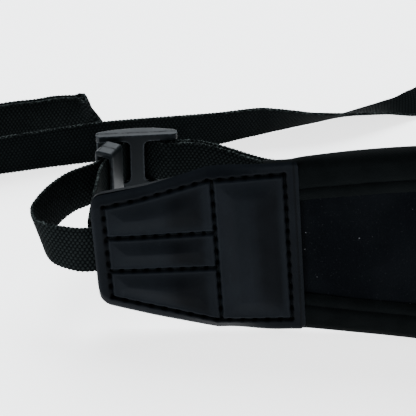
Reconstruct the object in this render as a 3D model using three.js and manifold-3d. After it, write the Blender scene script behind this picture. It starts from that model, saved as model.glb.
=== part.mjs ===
// Camera neck strap, standing on the long edge of its pad.
// Millimetres, +Z up. The strap leaves the near tab's narrow end to the left (-X), the pad runs to the right.
import * as THREE from "three";
import Module from "manifold-3d";
import { mergeVertices } from "three/addons/utils/BufferGeometryUtils.js";

const wasm = await Module();
wasm.setup();

// Driving dimensions

// Pad
const PAD_HEIGHT = 66;
const PAD_END_HEIGHT = 56;
const PAD_WIDENING = 78;
const PAD_CORE_THICKNESS = 4;
const PAD_STRAIGHT = 130;
const PAD_CURVE_RADIUS = 80;
const PAD_CURVE_TURN = 174;
const PAD_LEAN = 8;
const PAD_HEADING = -4.1;
const PAD_SQUEEZE = 0.6;
const PAD_SQUEEZE_RUN = 16;
const PAD_BOW = 3.1;
const BINDING_WIDTH = 11.8;
const BINDING_THICKNESS = 0.8;
const BINDING_INNER_BEVEL = 0.45;
const PAD_SETTLING = 46.8;

// Tabs at the two ends of the pad
const TAB_LENGTH = 61.3;
const TAB_NARROW_HEIGHT = 35.4;
const TAB_WIDE_HEIGHT = 54.6;
const TAB_WIDE_FLARE = 1.2;
const TAB_SHOULDER = 34.5;
const TAB_LEATHER = 1.2;
const TAB_CORNER = 3.2;
const TAB_BORDER = 3.6;
const TAB_PUFF = 1.3;
const TAB_NARROW_CENTRE = 26.6;
const TAB_RIM_OPENS = 36;
const TAB_RIM_OPEN = 54;
const TAB_BORDER_RISE = 0.4;
const TAB_PAD_OVERLAP = 13;
const TAB_WEBBING_OVERLAP = 12;
const TAB_SEAT_EASE = 4;
const TAB_RIM_CLOSING = 2.5;
const TAB_EXIT = 3;

// Webbing
const WEBBING_WIDTH = 15;
const WEBBING_THICKNESS = 1.3;
const WEBBING_STEP = 7;
const TAIL_STEP = 5;
const NEAR_TAIL = 31;
const FAR_TAIL = 37;
const FAR_TURN_CLEARANCE = 8;
const NEAR_BEND_REACH = 18.7;
const NEAR_LUG_RUN = 196;
const FAR_LUG_RUN = 37;
const NEAR_LUG_EYE = 6;
const FAR_LUG_EYE = 0.5;
const LUG_EYE_LENGTH = 26;
const NEAR_TIP_LEAN = -17;
const FAR_TIP_LEAN = -26;

// Slider and keeper
const SLIDER_LENGTH = 26.4;
const SLIDER_DEPTH = 4.9;
const SLIDER_END_DEPTH = 3.3;
const SLIDER_RAIL = 2.3;
const SLIDER_END_BAR = 3;
const SLIDER_END_BAR_DEPTH = 1.8;
const SLIDER_CENTRE_BAR = 4.7;
const SLIDER_CENTRE_BAR_DEPTH = 2.45;
const SLIDER_FACE_DEPTH = 1.2;
const SLIDER_FILLET = 1.8;
const SLIDER_CORNER = 0.9;
const NEAR_SLIDER_X = 9.9;
const NEAR_SLIDER_Y = 50.4;
const NEAR_SLIDER_Z = 27.9;
const NEAR_SLIDER_HEADING = 5;
const FAR_SLIDER_X = -60.5;
const FAR_SLIDER_Y = 100.6;
const FAR_SLIDER_HEADING = 17;
const KEEPER_LENGTH = 7.4;
const KEEPER_WALL = 1.5;
const KEEPER_CORNER = 1.4;
const KEEPER_STRAIGHT = 1;
const NEAR_KEEPER_DISTANCE = 10.7;
const NEAR_KEEPER_SWING = 60;
const FAR_KEEPER_DISTANCE = 23;
const FAR_KEEPER_SWING = 0;

// Free stretch of the far strap
const FAR_STRETCH_REACH = 100;

// Clearances
const GAP = 0.3;
const BAR_CLEARANCE = 0.35;

// Values that follow from the driving dimensions
const HALF_WEBBING = WEBBING_THICKNESS / 2;
const LAYER_PITCH = WEBBING_THICKNESS + GAP;
const BINDING_HALF = PAD_CORE_THICKNESS / 2 + GAP + BINDING_THICKNESS;
const SLOT_HEIGHT = WEBBING_WIDTH + 2 * GAP;
const SLIDER_HEIGHT = SLOT_HEIGHT + 2 * SLIDER_RAIL;
const SLIDER_FRONT = -SLIDER_DEPTH / 2;
const CENTRE_BAR_BACK = SLIDER_FRONT + SLIDER_CENTRE_BAR_DEPTH;
const END_BAR_FRONT = SLIDER_FRONT + SLIDER_END_DEPTH - SLIDER_END_BAR_DEPTH;
const CURVE_LENGTH = THREE.MathUtils.degToRad(PAD_CURVE_TURN) * PAD_CURVE_RADIUS;
const STRAP_LENGTH = 2 * TAB_LENGTH + PAD_STRAIGHT + CURVE_LENGTH;
const ROUND_FACET = 30;
const PAD_STEP = 8;

const rad = THREE.MathUtils.degToRad;
const clamp01 = (value) => THREE.MathUtils.clamp(value, 0, 1);
const ease = (value) => THREE.MathUtils.smoothstep(value, 0, 1);
const mix = THREE.MathUtils.lerp;

// Colour, roughness and metalness of each kind of piece
const finish = (color, roughness) => new THREE.MeshStandardMaterial({ color, roughness, metalness: 0 });
const LEATHERETTE = [0x15181e, 0.48];
const NEOPRENE = [0x07090d, 0.9];
const BINDING = [0x0b0f0e, 0.88];
const WEBBING = [0x0d1211, 0.92];
const PLASTIC = [0x1c2226, 0.42];

// Geometry helpers

// A value read from a table of rows, each with a share and the named column, eased between rows.
function fromTable(rows, share, column) {
  const next = rows.findIndex((row) => row.share >= share);
  if (next <= 0) return rows[next === 0 ? 0 : rows.length - 1][column];
  const low = rows[next - 1];
  const high = rows[next];
  return mix(low[column], high[column], ease((share - low.share) / (high.share - low.share)));
}

// Frame of a strap at one station: travel, width direction (leaning to the left of travel) and right-hand side.
function strapFrame(travel, lean) {
  const along = travel.clone().normalize();
  const left = new THREE.Vector3(-along.y, along.x, 0).normalize();
  const width = new THREE.Vector3(0, 0, Math.cos(rad(lean))).addScaledVector(left, Math.sin(rad(lean)));
  width.addScaledVector(along, -width.dot(along)).normalize();
  return { along, width, side: new THREE.Vector3().crossVectors(along, width) };
}

// Frames along a list of rows {x, y, z, lean}, with the travel direction taken from the neighbours.
function framesAlong(rows) {
  const points = rows.map((row) => new THREE.Vector3(row.x, row.y, row.z));
  return rows.map((row, i) => {
    const before = points[Math.max(i - 1, 0)];
    const after = points[Math.min(i + 1, points.length - 1)];
    return { point: points[i], ...strapFrame(after.clone().sub(before), row.lean) };
  });
}

// Closed mesh from points and triangles given as lists.
function solidFrom(points, triangles) {
  const geometry = new THREE.BufferGeometry();
  const numbers = points.flatMap((point) => [point.x, point.y, point.z]);
  geometry.setAttribute("position", new THREE.Float32BufferAttribute(numbers, 3));
  geometry.setIndex(triangles.flat());
  geometry.computeVertexNormals();
  return geometry;
}

// Solid swept through frames. sectionAt gives each frame's outline as [side, width] pairs, counter-clockwise.
function sweep(frames, sectionAt) {
  const sections = frames.map((_, i) => sectionAt(i));
  const count = sections[0].length;
  const points = frames.flatMap((frame, i) => sections[i].map(([side, width]) =>
    frame.point.clone().addScaledVector(frame.side, side).addScaledVector(frame.width, width)));
  const triangles = [];
  for (let i = 0; i + 1 < frames.length; i += 1) {
    for (let k = 0; k < count; k += 1) {
      const a = i * count + k;
      const b = i * count + ((k + 1) % count);
      triangles.push([a, b + count, b], [a, a + count, b + count]);
    }
  }
  const cap = (section, offset, flip) => {
    const outline = section.map(([side, width]) => new THREE.Vector2(side, width));
    for (const [a, b, c] of THREE.ShapeUtils.triangulateShape(outline, [])) {
      triangles.push(flip ? [offset + a, offset + c, offset + b] : [offset + a, offset + b, offset + c]);
    }
  };
  cap(sections[0], 0, false);
  cap(sections[frames.length - 1], (frames.length - 1) * count, true);
  return solidFrom(points, triangles);
}

// three.js geometry to a manifold solid and back, for joins and cuts.
function toSolid(geometry) {
  const bare = geometry.clone();
  bare.deleteAttribute("normal");
  bare.deleteAttribute("uv");
  const merged = mergeVertices(bare);
  return new wasm.Manifold(new wasm.Mesh({
    numProp: 3,
    vertProperties: new Float32Array(merged.attributes.position.array),
    triVerts: new Uint32Array(merged.index.array),
  }));
}

function fromSolid(solid) {
  const mesh = solid.getMesh();
  const geometry = new THREE.BufferGeometry();
  geometry.setAttribute("position", new THREE.BufferAttribute(new Float32Array(mesh.vertProperties), 3));
  geometry.setIndex(new THREE.BufferAttribute(new Uint32Array(mesh.triVerts), 1));
  geometry.computeVertexNormals();
  return geometry;
}

// Pad route: near tab, straight stretch, curve, far tab

function padPlan(distance) {
  const heading = rad(PAD_HEADING);
  const straight = TAB_LENGTH + PAD_STRAIGHT;
  const first = Math.min(distance, straight);
  const place = new THREE.Vector2(Math.cos(heading) * first, Math.sin(heading) * first);
  if (distance <= straight) return { place, heading };
  const turned = Math.min(distance - straight, CURVE_LENGTH) / PAD_CURVE_RADIUS;
  place.x += PAD_CURVE_RADIUS * (Math.sin(heading + turned) - Math.sin(heading));
  place.y += PAD_CURVE_RADIUS * (Math.cos(heading) - Math.cos(heading + turned));
  const last = Math.max(distance - straight - CURVE_LENGTH, 0);
  place.x += Math.cos(heading + turned) * last;
  place.y += Math.sin(heading + turned) * last;
  return { place, heading: heading + turned };
}

// Height of the pad at a distance from the strap's nearer end.
function padHeight(fromEnd) {
  const share = clamp01((fromEnd - TAB_LENGTH) / PAD_WIDENING);
  return mix(PAD_END_HEIGHT, PAD_HEIGHT, Math.sin((share * Math.PI) / 2));
}

// Height of the tab at a distance from its narrow end: a taper, then a wide stretch, with rounded corners.
function tabHeight(fromEnd) {
  const taper = TAB_WIDE_HEIGHT - TAB_WIDE_FLARE;
  const height = fromEnd < TAB_SHOULDER
    ? mix(TAB_NARROW_HEIGHT, taper, fromEnd / TAB_SHOULDER)
    : mix(taper, TAB_WIDE_HEIGHT, (fromEnd - TAB_SHOULDER) / (TAB_LENGTH - TAB_SHOULDER));
  const inset = clamp01(1 - fromEnd / TAB_CORNER);
  return height - 2 * TAB_CORNER * (1 - Math.sqrt(1 - inset * inset));
}

// The pad rests on the table along the lowest facet of its lower binding.
const PAD_CENTRE = (PAD_HEIGHT / 2 - BINDING_HALF) * Math.cos(rad(PAD_LEAN))
  + BINDING_HALF * Math.cos(rad(ROUND_FACET / 2));

function strapCentre(fromEnd) {
  return mix(TAB_NARROW_CENTRE, PAD_CENTRE, ease(fromEnd / (TAB_LENGTH + PAD_SETTLING)));
}

// The strap bows into the loop where the tabs meet the pad: shares of the way from its end to the curve.
const BOW_ROWS = [
  { share: 0, bow: 0.32 },
  { share: 0.33, bow: 1 },
  { share: 0.8, bow: 0.26 },
  { share: 1, bow: 0 },
];

function padRow(distance) {
  const { place, heading } = padPlan(distance);
  const fromEnd = Math.min(distance, STRAP_LENGTH - distance);
  const bow = PAD_BOW * fromTable(BOW_ROWS, fromEnd / (TAB_LENGTH + PAD_STRAIGHT), "bow");
  const x = place.x - Math.sin(heading) * bow;
  const y = place.y + Math.cos(heading) * bow;
  return { x, y, z: strapCentre(fromEnd), lean: PAD_LEAN };
}

// Share of its thickness that the pad keeps: the tabs' seams squeeze its ends.
function padFullness(fromEnd) {
  return mix(PAD_SQUEEZE, 1, ease((fromEnd - TAB_LENGTH) / PAD_SQUEEZE_RUN));
}

function padFrame(distance) {
  const step = 0.5;
  const before = padRow(Math.max(distance - step, 0));
  const after = padRow(Math.min(distance + step, STRAP_LENGTH));
  const row = padRow(distance);
  const travel = new THREE.Vector3(after.x - before.x, after.y - before.y, after.z - before.z);
  return { point: new THREE.Vector3(row.x, row.y, row.z), ...strapFrame(travel, row.lean) };
}

// Distances along the pad at which its pieces have a section: their own ends, and between them marks that all
// share, close together where the pad widens or bends.
function padStations(first, last) {
  const marks = [];
  const bend = TAB_LENGTH + PAD_STRAIGHT;
  for (let next = TAB_LENGTH; next < STRAP_LENGTH - TAB_LENGTH + PAD_STEP / 2;) {
    marks.push(next);
    const plain = next > TAB_LENGTH + PAD_WIDENING && next < bend - 2 * PAD_STEP;
    next += plain ? 2 * PAD_STEP : PAD_STEP;
  }
  return [first, ...marks.filter((mark) => mark > first + 1 && mark < last - 1), last];
}

// Pieces of the pad

function padCore() {
  const marks = padStations(TAB_LENGTH - TAB_PAD_OVERLAP, STRAP_LENGTH - TAB_LENGTH + TAB_PAD_OVERLAP);
  return sweep(marks.map(padFrame), (i) => {
    const fromEnd = Math.min(marks[i], STRAP_LENGTH - marks[i]);
    const half = (PAD_CORE_THICKNESS / 2) * padFullness(fromEnd);
    const reach = padHeight(fromEnd) / 2 - BINDING_THICKNESS - GAP;
    return [[half, -reach + half], [half, reach - half], [half / 2, reach], [-half / 2, reach],
      [-half, reach - half], [-half, -reach + half], [-half / 2, -reach], [half / 2, -reach]];
  });
}

// Edge binding folded over the core's upper (1) or lower (-1) edge, its outside rounded in flat facets.
function padBinding(end) {
  const overlap = TAB_PAD_OVERLAP / 2;
  const marks = padStations(TAB_LENGTH - overlap, STRAP_LENGTH - TAB_LENGTH + overlap);
  return sweep(marks.map(padFrame), (i) => {
    const fromEnd = Math.min(marks[i], STRAP_LENGTH - marks[i]);
    const inner = (PAD_CORE_THICKNESS / 2) * padFullness(fromEnd) + GAP;
    const half = inner + BINDING_THICKNESS;
    const reach = padHeight(fromEnd) / 2;
    const edge = reach - half;
    const outside = [];
    for (let angle = -75; angle <= 75; angle += ROUND_FACET) {
      const turned = rad(angle + end * PAD_LEAN);
      outside.push([half * Math.sin(turned), edge + half * Math.cos(turned)]);
    }
    const bevel = inner * BINDING_INNER_BEVEL;
    const rim = reach - BINDING_WIDTH;
    const inside = [[inner, rim], [inner, edge + bevel], [bevel, edge + inner], [-bevel, edge + inner],
      [-inner, edge + bevel], [-inner, rim]];
    const outline = [[-half, rim], ...outside, [half, rim], ...inside];
    const placed = outline.map(([side, width]) => [side, width * end]);
    return end > 0 ? placed.reverse() : placed;
  });
}

// Tabs

// Half the hollow between a tab's two sheets: webbing at the narrow end, pad at the wide end, closed rim.
function tabSeat(fromEnd, height) {
  const webbingSeat = HALF_WEBBING + GAP;
  const padSeat = (PAD_CORE_THICKNESS / 2) * PAD_SQUEEZE + BINDING_THICKNESS + 2 * GAP;
  const webbingEnd = TAB_WEBBING_OVERLAP + TAB_SEAT_EASE;
  const padStart = TAB_LENGTH - TAB_PAD_OVERLAP - TAB_SEAT_EASE / 2;
  const lift = ease((fromEnd - webbingEnd) / (padStart - webbingEnd));
  const middle = mix(webbingSeat, padSeat, lift);
  const rim = mix(GAP / 2, padSeat, ease((fromEnd - TAB_RIM_OPENS) / (TAB_RIM_OPEN - TAB_RIM_OPENS)));
  const clearOfWebbing = (Math.abs(height) - WEBBING_WIDTH / 2 - GAP) / TAB_RIM_CLOSING;
  const clearOfRim = (tabHeight(fromEnd) / 2 - Math.abs(height)) / TAB_BORDER;
  return mix(middle, rim, clamp01(clearOfWebbing) * ease(1 - clamp01(clearOfRim)));
}

// Seams that part the tab's face into panels: rows across the strap, columns as shares of the half height.
const TAB_SEAM_ROWS = [{ share: 0.06 }, { share: 0.585 }, { share: 0.935 }];
const TAB_SEAM_SPREAD = 0.28;

// Rise of the outer sheet over its leather: flat border, sunk seam, puffed panels.
function tabRelief(fromEnd, spread) {
  const share = fromEnd / TAB_LENGTH;
  const half = tabHeight(fromEnd) / 2;
  const border = 1 - TAB_BORDER / half;
  const [first, second, third] = TAB_SEAM_ROWS.map((row) => row.share);
  if (share < first || share > third || Math.abs(spread) > border) return TAB_BORDER_RISE;
  const wide = share > second;
  const low = wide ? second : first;
  const high = wide ? third : second;
  const edges = wide ? [-border, border] : [-border, -TAB_SEAM_SPREAD, TAB_SEAM_SPREAD, border];
  const panel = edges.findIndex((edge) => edge >= spread - 1e-9);
  const bottom = edges[Math.max(panel - 1, 0)];
  const top = edges[Math.max(panel, 1)];
  const lengthwise = Math.sin(Math.PI * clamp01((share - low) / (high - low)));
  const crosswise = Math.sin(Math.PI * clamp01((spread - bottom) / (top - bottom)));
  return TAB_PUFF * Math.pow(clamp01(lengthwise * 2.2), 0.6) * Math.pow(crosswise, 0.6);
}

// One leather sheet of a tab. outward is 1 for the outer face of the loop, -1 for the inner. end is 1 for the
// near tab, whose narrow end starts the route, and -1 for the far one, whose narrow end closes it.
function tabSheet(outward, end) {
  const frameAt = (fromEnd) => padFrame(end > 0 ? fromEnd : STRAP_LENGTH - fromEnd);
  const border = TAB_BORDER / TAB_LENGTH;
  const puffed = outward > 0;
  const [first, second, third] = TAB_SEAM_ROWS.map((row) => row.share);
  const rows = puffed
    ? [0, border * 0.25, first * 0.8, first, first + 0.035, 0.2, 0.33, 0.46, second - 0.03, second,
      second + 0.03, 0.7, 0.8, third - 0.04, third, third + 0.025, 1]
    : [0, border * 0.25, 0.06, 0.2, 0.33, 0.46, 0.56, 0.66, 0.76, 0.885, 1];
  const columns = puffed
    ? [-1, -0.87, -0.78, -0.66, -0.5, -0.36, -0.28, -0.2, -0.07]
    : [-1, -0.87, -0.66, -0.48, -0.2];
  const spreads = [...columns, ...columns.map((spread) => -spread).reverse()];
  const across = spreads.length;
  const outer = [];
  const inner = [];
  for (const share of rows) {
    const fromEnd = share * TAB_LENGTH;
    const frame = frameAt(fromEnd);
    for (const spread of spreads) {
      const height = (spread * tabHeight(fromEnd)) / 2;
      const seat = tabSeat(fromEnd, height);
      const place = (depth) => frame.point.clone().addScaledVector(frame.width, height)
        .addScaledVector(frame.side, outward * depth);
      outer.push(place(seat + TAB_LEATHER + (puffed ? tabRelief(fromEnd, spread) : 0)));
      inner.push(place(seat));
    }
  }
  const points = [...outer, ...inner];
  const under = outer.length;
  const triangles = [];
  const quad = (a, b, c, d) => triangles.push([a, b, c], [a, c, d]);
  for (let i = 0; i + 1 < rows.length; i += 1) {
    for (let k = 0; k + 1 < across; k += 1) {
      const a = i * across + k;
      quad(a, a + across, a + across + 1, a + 1);
      quad(under + a, under + a + 1, under + a + across + 1, under + a + across);
    }
    const low = i * across;
    const high = low + across - 1;
    quad(low, under + low, under + low + across, low + across);
    quad(high, high + across, under + high + across, under + high);
  }
  const last = (rows.length - 1) * across;
  for (let k = 0; k + 1 < across; k += 1) {
    quad(k, k + 1, under + k + 1, under + k);
    quad(last + k, under + last + k, under + last + k + 1, last + k + 1);
  }
  return solidFrom(points, outward * end > 0 ? triangles : triangles.map(([a, b, c]) => [a, c, b]));
}

// Slider and keeper, each about its own middle with the webbing passing along X

function sliderRail() {
  const half = SLIDER_LENGTH / 2;
  const end = SLIDER_FRONT + SLIDER_END_DEPTH;
  const plan = new THREE.Shape();
  plan.moveTo(-half + SLIDER_CORNER, SLIDER_FRONT);
  plan.lineTo(half - SLIDER_CORNER, SLIDER_FRONT);
  plan.lineTo(half, SLIDER_FRONT + SLIDER_CORNER);
  plan.lineTo(half, end - SLIDER_CORNER);
  plan.lineTo(half - SLIDER_CORNER, end);
  const crown = SLIDER_DEPTH / 2 + (SLIDER_DEPTH / 2 - end) * 1.1;
  plan.quadraticCurveTo(0, crown, -half + SLIDER_CORNER, end);
  plan.lineTo(-half, end - SLIDER_CORNER);
  plan.lineTo(-half, SLIDER_FRONT + SLIDER_CORNER);
  return new THREE.ExtrudeGeometry(plan, { depth: SLIDER_RAIL, bevelEnabled: false, curveSegments: 10 });
}

// Front plate of the slider: centre bar that flares into the rails.
function sliderFace() {
  const bar = SLIDER_CENTRE_BAR / 2;
  const slot = SLOT_HEIGHT / 2;
  const flare = bar + SLIDER_FILLET;
  const top = slot + SLIDER_RAIL / 2;
  const face = new THREE.Shape();
  face.moveTo(-flare, -top);
  face.lineTo(flare, -top);
  face.lineTo(flare, -slot);
  face.absarc(flare, -slot + SLIDER_FILLET, SLIDER_FILLET, -Math.PI / 2, -Math.PI, true);
  face.absarc(flare, slot - SLIDER_FILLET, SLIDER_FILLET, Math.PI, Math.PI / 2, true);
  face.lineTo(flare, top);
  face.lineTo(-flare, top);
  face.lineTo(-flare, slot);
  face.absarc(-flare, slot - SLIDER_FILLET, SLIDER_FILLET, Math.PI / 2, 0, true);
  face.absarc(-flare, -slot + SLIDER_FILLET, SLIDER_FILLET, 0, -Math.PI / 2, true);
  const settings = { depth: SLIDER_FACE_DEPTH, bevelEnabled: false, curveSegments: 4 };
  const plate = new THREE.ExtrudeGeometry(face, settings);
  plate.rotateX(Math.PI / 2);
  plate.translate(0, SLIDER_FRONT + SLIDER_FACE_DEPTH, 0);
  return plate;
}

function sliderBar(width, depth, middle, front) {
  const bar = new THREE.BoxGeometry(width, depth, SLOT_HEIGHT + SLIDER_RAIL);
  bar.translate(middle, front + depth / 2, 0);
  return bar;
}

function slider() {
  const rail = sliderRail();
  const upper = rail.clone().translate(0, 0, SLOT_HEIGHT / 2);
  const lower = rail.clone().translate(0, 0, -SLOT_HEIGHT / 2 - SLIDER_RAIL);
  const endBar = (SLIDER_LENGTH - SLIDER_END_BAR) / 2;
  const inset = 0.2;
  const bars = [
    sliderFace(),
    sliderBar(SLIDER_CENTRE_BAR, SLIDER_CENTRE_BAR_DEPTH - inset, 0, SLIDER_FRONT + inset),
    sliderBar(SLIDER_END_BAR - inset, SLIDER_END_BAR_DEPTH - inset, endBar - inset / 2, END_BAR_FRONT),
    sliderBar(SLIDER_END_BAR - inset, SLIDER_END_BAR_DEPTH - inset, -endBar + inset / 2, END_BAR_FRONT),
    lower,
  ];
  return fromSolid(bars.reduce((solid, bar) => solid.add(toSolid(bar)), toSolid(upper)));
}

// Keeper: a moulded ring round the two layers of webbing.
function keeper() {
  const depth = LAYER_PITCH + WEBBING_THICKNESS + 2 * GAP + 2 * KEEPER_WALL;
  const height = SLOT_HEIGHT + 2 * (KEEPER_WALL + 0.5);
  const outline = roundedRectangle(depth, height, KEEPER_CORNER);
  outline.holes.push(roundedRectangle(depth - 2 * KEEPER_WALL, SLOT_HEIGHT, 0.05));
  const bevel = 0.4;
  const ring = new THREE.ExtrudeGeometry(outline, {
    depth: KEEPER_LENGTH - 2 * bevel, bevelEnabled: true, bevelThickness: bevel, bevelSize: bevel,
    bevelOffset: -bevel, bevelSegments: 1, curveSegments: 3,
  });
  ring.translate(0, 0, -KEEPER_LENGTH / 2 + bevel);
  ring.rotateX(Math.PI / 2);
  ring.rotateZ(Math.PI / 2);
  return fromSolid(toSolid(ring));
}

function roundedRectangle(width, height, radius) {
  const x = width / 2 - radius;
  const y = height / 2 - radius;
  const outline = new THREE.Shape();
  outline.absarc(x, y, radius, 0, Math.PI / 2, false);
  outline.absarc(-x, y, radius, Math.PI / 2, Math.PI, false);
  outline.absarc(-x, -y, radius, Math.PI, (Math.PI * 3) / 2, false);
  outline.absarc(x, -y, radius, (Math.PI * 3) / 2, Math.PI * 2, false);
  return outline;
}

// Route of the webbing through one slider and keeper, in the slider's own frame (webbing along +X, front at -Y)

// Plan points on an arc round a corner. radius is positive where the corner lies on the right of travel.
function arcRound(corner, radius, fromHeading, toHeading) {
  const steps = Math.max(2, Math.ceil(Math.abs(toHeading - fromHeading) / 16));
  return Array.from({ length: steps + 1 }, (_, i) => {
    const heading = rad(mix(fromHeading, toHeading, i / steps));
    return new THREE.Vector2(corner.x - radius * Math.sin(heading), corner.y + radius * Math.cos(heading));
  });
}

// One layer's plan points from the middle of the slider's centre bar to its right end: off the bar's back,
// through the slot and in front of the end bar. layer is 0 against the centre bar, and 1 for the one behind.
function throughSlot(layer) {
  const besideBar = BAR_CLEARANCE + HALF_WEBBING + layer * LAYER_PITCH;
  const besideEnd = BAR_CLEARANCE + HALF_WEBBING + (1 - layer) * LAYER_PITCH;
  const bar = new THREE.Vector2(SLIDER_CENTRE_BAR / 2, CENTRE_BAR_BACK);
  const end = new THREE.Vector2(SLIDER_LENGTH / 2 - SLIDER_END_BAR, END_BAR_FRONT);
  const span = end.clone().sub(bar);
  const below = Math.atan2(-span.y, span.x);
  const dive = THREE.MathUtils.radToDeg(Math.asin((besideBar + besideEnd) / span.length()) + below);
  return [...arcRound(bar, besideBar, 0, -dive), ...arcRound(end, -besideEnd, -dive, 0),
    new THREE.Vector2(SLIDER_LENGTH / 2, end.y - besideEnd)];
}

// One layer's plan points from the keeper to the slider's right end. With a swing the keeper stands before the
// left slot, turned by it; without one it lies in line with the slider, past its left end.
function throughSlider(layer, keeperDistance, keeperSwing) {
  const slot = throughSlot(layer);
  const near = keeperDistance - KEEPER_LENGTH / 2 - KEEPER_STRAIGHT;
  const far = keeperDistance + KEEPER_LENGTH / 2 + KEEPER_STRAIGHT;
  if (keeperSwing === 0) {
    const mirrored = slot.map((point) => new THREE.Vector2(-point.x, point.y)).reverse();
    const front = mirrored[0].y;
    return [new THREE.Vector2(-far, front), new THREE.Vector2(-near, front), ...mirrored, ...slot];
  }
  const besideBar = BAR_CLEARANCE + HALF_WEBBING + layer * LAYER_PITCH;
  const swing = new THREE.Vector2(Math.cos(rad(keeperSwing)), Math.sin(rad(keeperSwing)));
  const turnIn = arcRound(new THREE.Vector2(-SLIDER_CENTRE_BAR / 2, CENTRE_BAR_BACK), besideBar, keeperSwing, 0);
  const straight = (distance) => turnIn[0].clone().addScaledVector(swing, -distance);
  return [straight(far), straight(near), ...turnIn, ...slot];
}

// Middle of the keeper in the slider's frame.
function keeperPlace(distance, swing) {
  const between = BAR_CLEARANCE + HALF_WEBBING + LAYER_PITCH / 2;
  if (swing === 0) return new THREE.Vector2(-distance, END_BAR_FRONT - between);
  const start = arcRound(new THREE.Vector2(-SLIDER_CENTRE_BAR / 2, CENTRE_BAR_BACK), between, swing, 0)[0];
  return start.addScaledVector(new THREE.Vector2(Math.cos(rad(swing)), Math.sin(rad(swing))), -distance);
}

// Lug run: both layers go out from the slider side by side, open into an eye and join in a fold.
// Rows give the run's heading against the slider's, and its height over the table as a share of the start's.
const NEAR_RUN = [
  { share: 0, heading: 0, rise: 1, lean: 0 },
  { share: 0.03, heading: -20, rise: 1, lean: 0 },
  { share: 0.16, heading: -20, rise: 0.83, lean: 0 },
  { share: 0.5, heading: -14, rise: 0.3, lean: 0 },
  { share: 0.82, heading: -4, rise: 0, lean: 0 },
  { share: 1, heading: -4, rise: 0, lean: 0 },
];
const FAR_RUN = [
  { share: 0, heading: 0, rise: 1, lean: 0 },
  { share: 0.2, heading: 4, rise: 1, lean: 0 },
  { share: 0.75, heading: 4, rise: 0, lean: -3 },
  { share: 1, heading: 4, rise: 0, lean: -3 },
];

function lugRun({ table, length, eye, tipLean }, start, heading, startHeight) {
  const step = 4;
  const steps = Math.ceil(length / step);
  const rest = WEBBING_WIDTH / 2;
  const middle = start.clone();
  const out = [];
  const back = [];
  const nearTip = LUG_EYE_LENGTH / length;
  for (let i = 0; i <= steps; i += 1) {
    const share = i / steps;
    const along = rad(heading + fromTable(table, share, "heading"));
    const opened = ease((share - (1 - nearTip)) / (nearTip * 0.6));
    const half = mix(LAYER_PITCH, eye + WEBBING_THICKNESS, opened) / 2;
    const z = mix(rest, startHeight, fromTable(table, share, "rise"));
    const lean = fromTable(table, share, "lean");
    const row = (side) => ({ x: middle.x - Math.sin(along) * half * side,
      y: middle.y + Math.cos(along) * half * side, z, lean: lean * side });
    if (i > 0) {
      out.push(row(1));
      back.unshift(row(-1));
    }
    middle.x += (Math.cos(along) * length) / steps;
    middle.y += (Math.sin(along) * length) / steps;
  }
  const last = out[out.length - 1];
  const first = back[0];
  const centre = new THREE.Vector2((last.x + first.x) / 2, (last.y + first.y) / 2);
  const radius = (eye + WEBBING_THICKNESS) / 2;
  const end = heading + fromTable(table, 1, "heading");
  const fold = arcRound(centre, radius, end, end - 180).slice(1, -1);
  const foldRows = fold.map((p, i) => {
    const turned = Math.sin((Math.PI * (i + 1)) / (fold.length + 1));
    return { x: p.x, y: p.y, z: last.z, lean: tipLean * turned };
  });
  return [...out, ...foldRows, ...back];
}

// A point of the slider's frame in the strap's frame.
function placed(point, fitting) {
  const turned = point.clone().rotateAround(new THREE.Vector2(), rad(fitting.heading));
  return { x: fitting.x + turned.x, y: fitting.y + turned.y, z: fitting.z, lean: 0 };
}

// Height of the middle of a strap that rests on the table at a lean.
function restingHeight(lean) {
  return (WEBBING_WIDTH / 2) * Math.abs(Math.cos(rad(lean))) + HALF_WEBBING * Math.abs(Math.sin(rad(lean)));
}

const nearFitting = { x: NEAR_SLIDER_X, y: NEAR_SLIDER_Y, z: NEAR_SLIDER_Z, heading: NEAR_SLIDER_HEADING };
const farFitting = { x: FAR_SLIDER_X, y: FAR_SLIDER_Y, z: SLIDER_HEIGHT / 2, heading: FAR_SLIDER_HEADING };

const nearRun = { table: NEAR_RUN, length: NEAR_LUG_RUN, eye: NEAR_LUG_EYE, tipLean: NEAR_TIP_LEAN };
const farRun = { table: FAR_RUN, length: FAR_LUG_RUN, eye: FAR_LUG_EYE, tipLean: FAR_TIP_LEAN };

// Both layers through the keeper and slider, and the lug run that joins them.
function fittingRoute(fitting, distance, swing, run) {
  const out = throughSlider(1, distance, swing).map((point) => placed(point, fitting));
  const back = throughSlider(0, distance, swing).map((point) => placed(point, fitting)).reverse();
  const outEnd = out[out.length - 1];
  const backStart = back[0];
  const start = new THREE.Vector2((outEnd.x + backStart.x) / 2, (outEnd.y + backStart.y) / 2);
  return { out, lug: lugRun(run, start, fitting.heading, fitting.z), back };
}

// Bend between the near tab and the keeper: shares of the bend's reach to the left and of the way back to the
// keeper, with the strap's lean.
const NEAR_BEND = [
  { left: 0.24, back: 0.012, rise: 0, lean: -7 },
  { left: 0.52, back: 0.045, rise: 0, lean: -3 },
  { left: 0.78, back: 0.11, rise: 0, lean: 4 },
  { left: 0.95, back: 0.21, rise: 0, lean: 13 },
  { left: 1.0, back: 0.33, rise: 0.1, lean: 16 },
  { left: 0.95, back: 0.47, rise: 0.3, lean: 12 },
  { left: 0.79, back: 0.66, rise: 0.55, lean: 6 },
  { left: 0.53, back: 0.83, rise: 0.8, lean: 2 },
];

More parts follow.
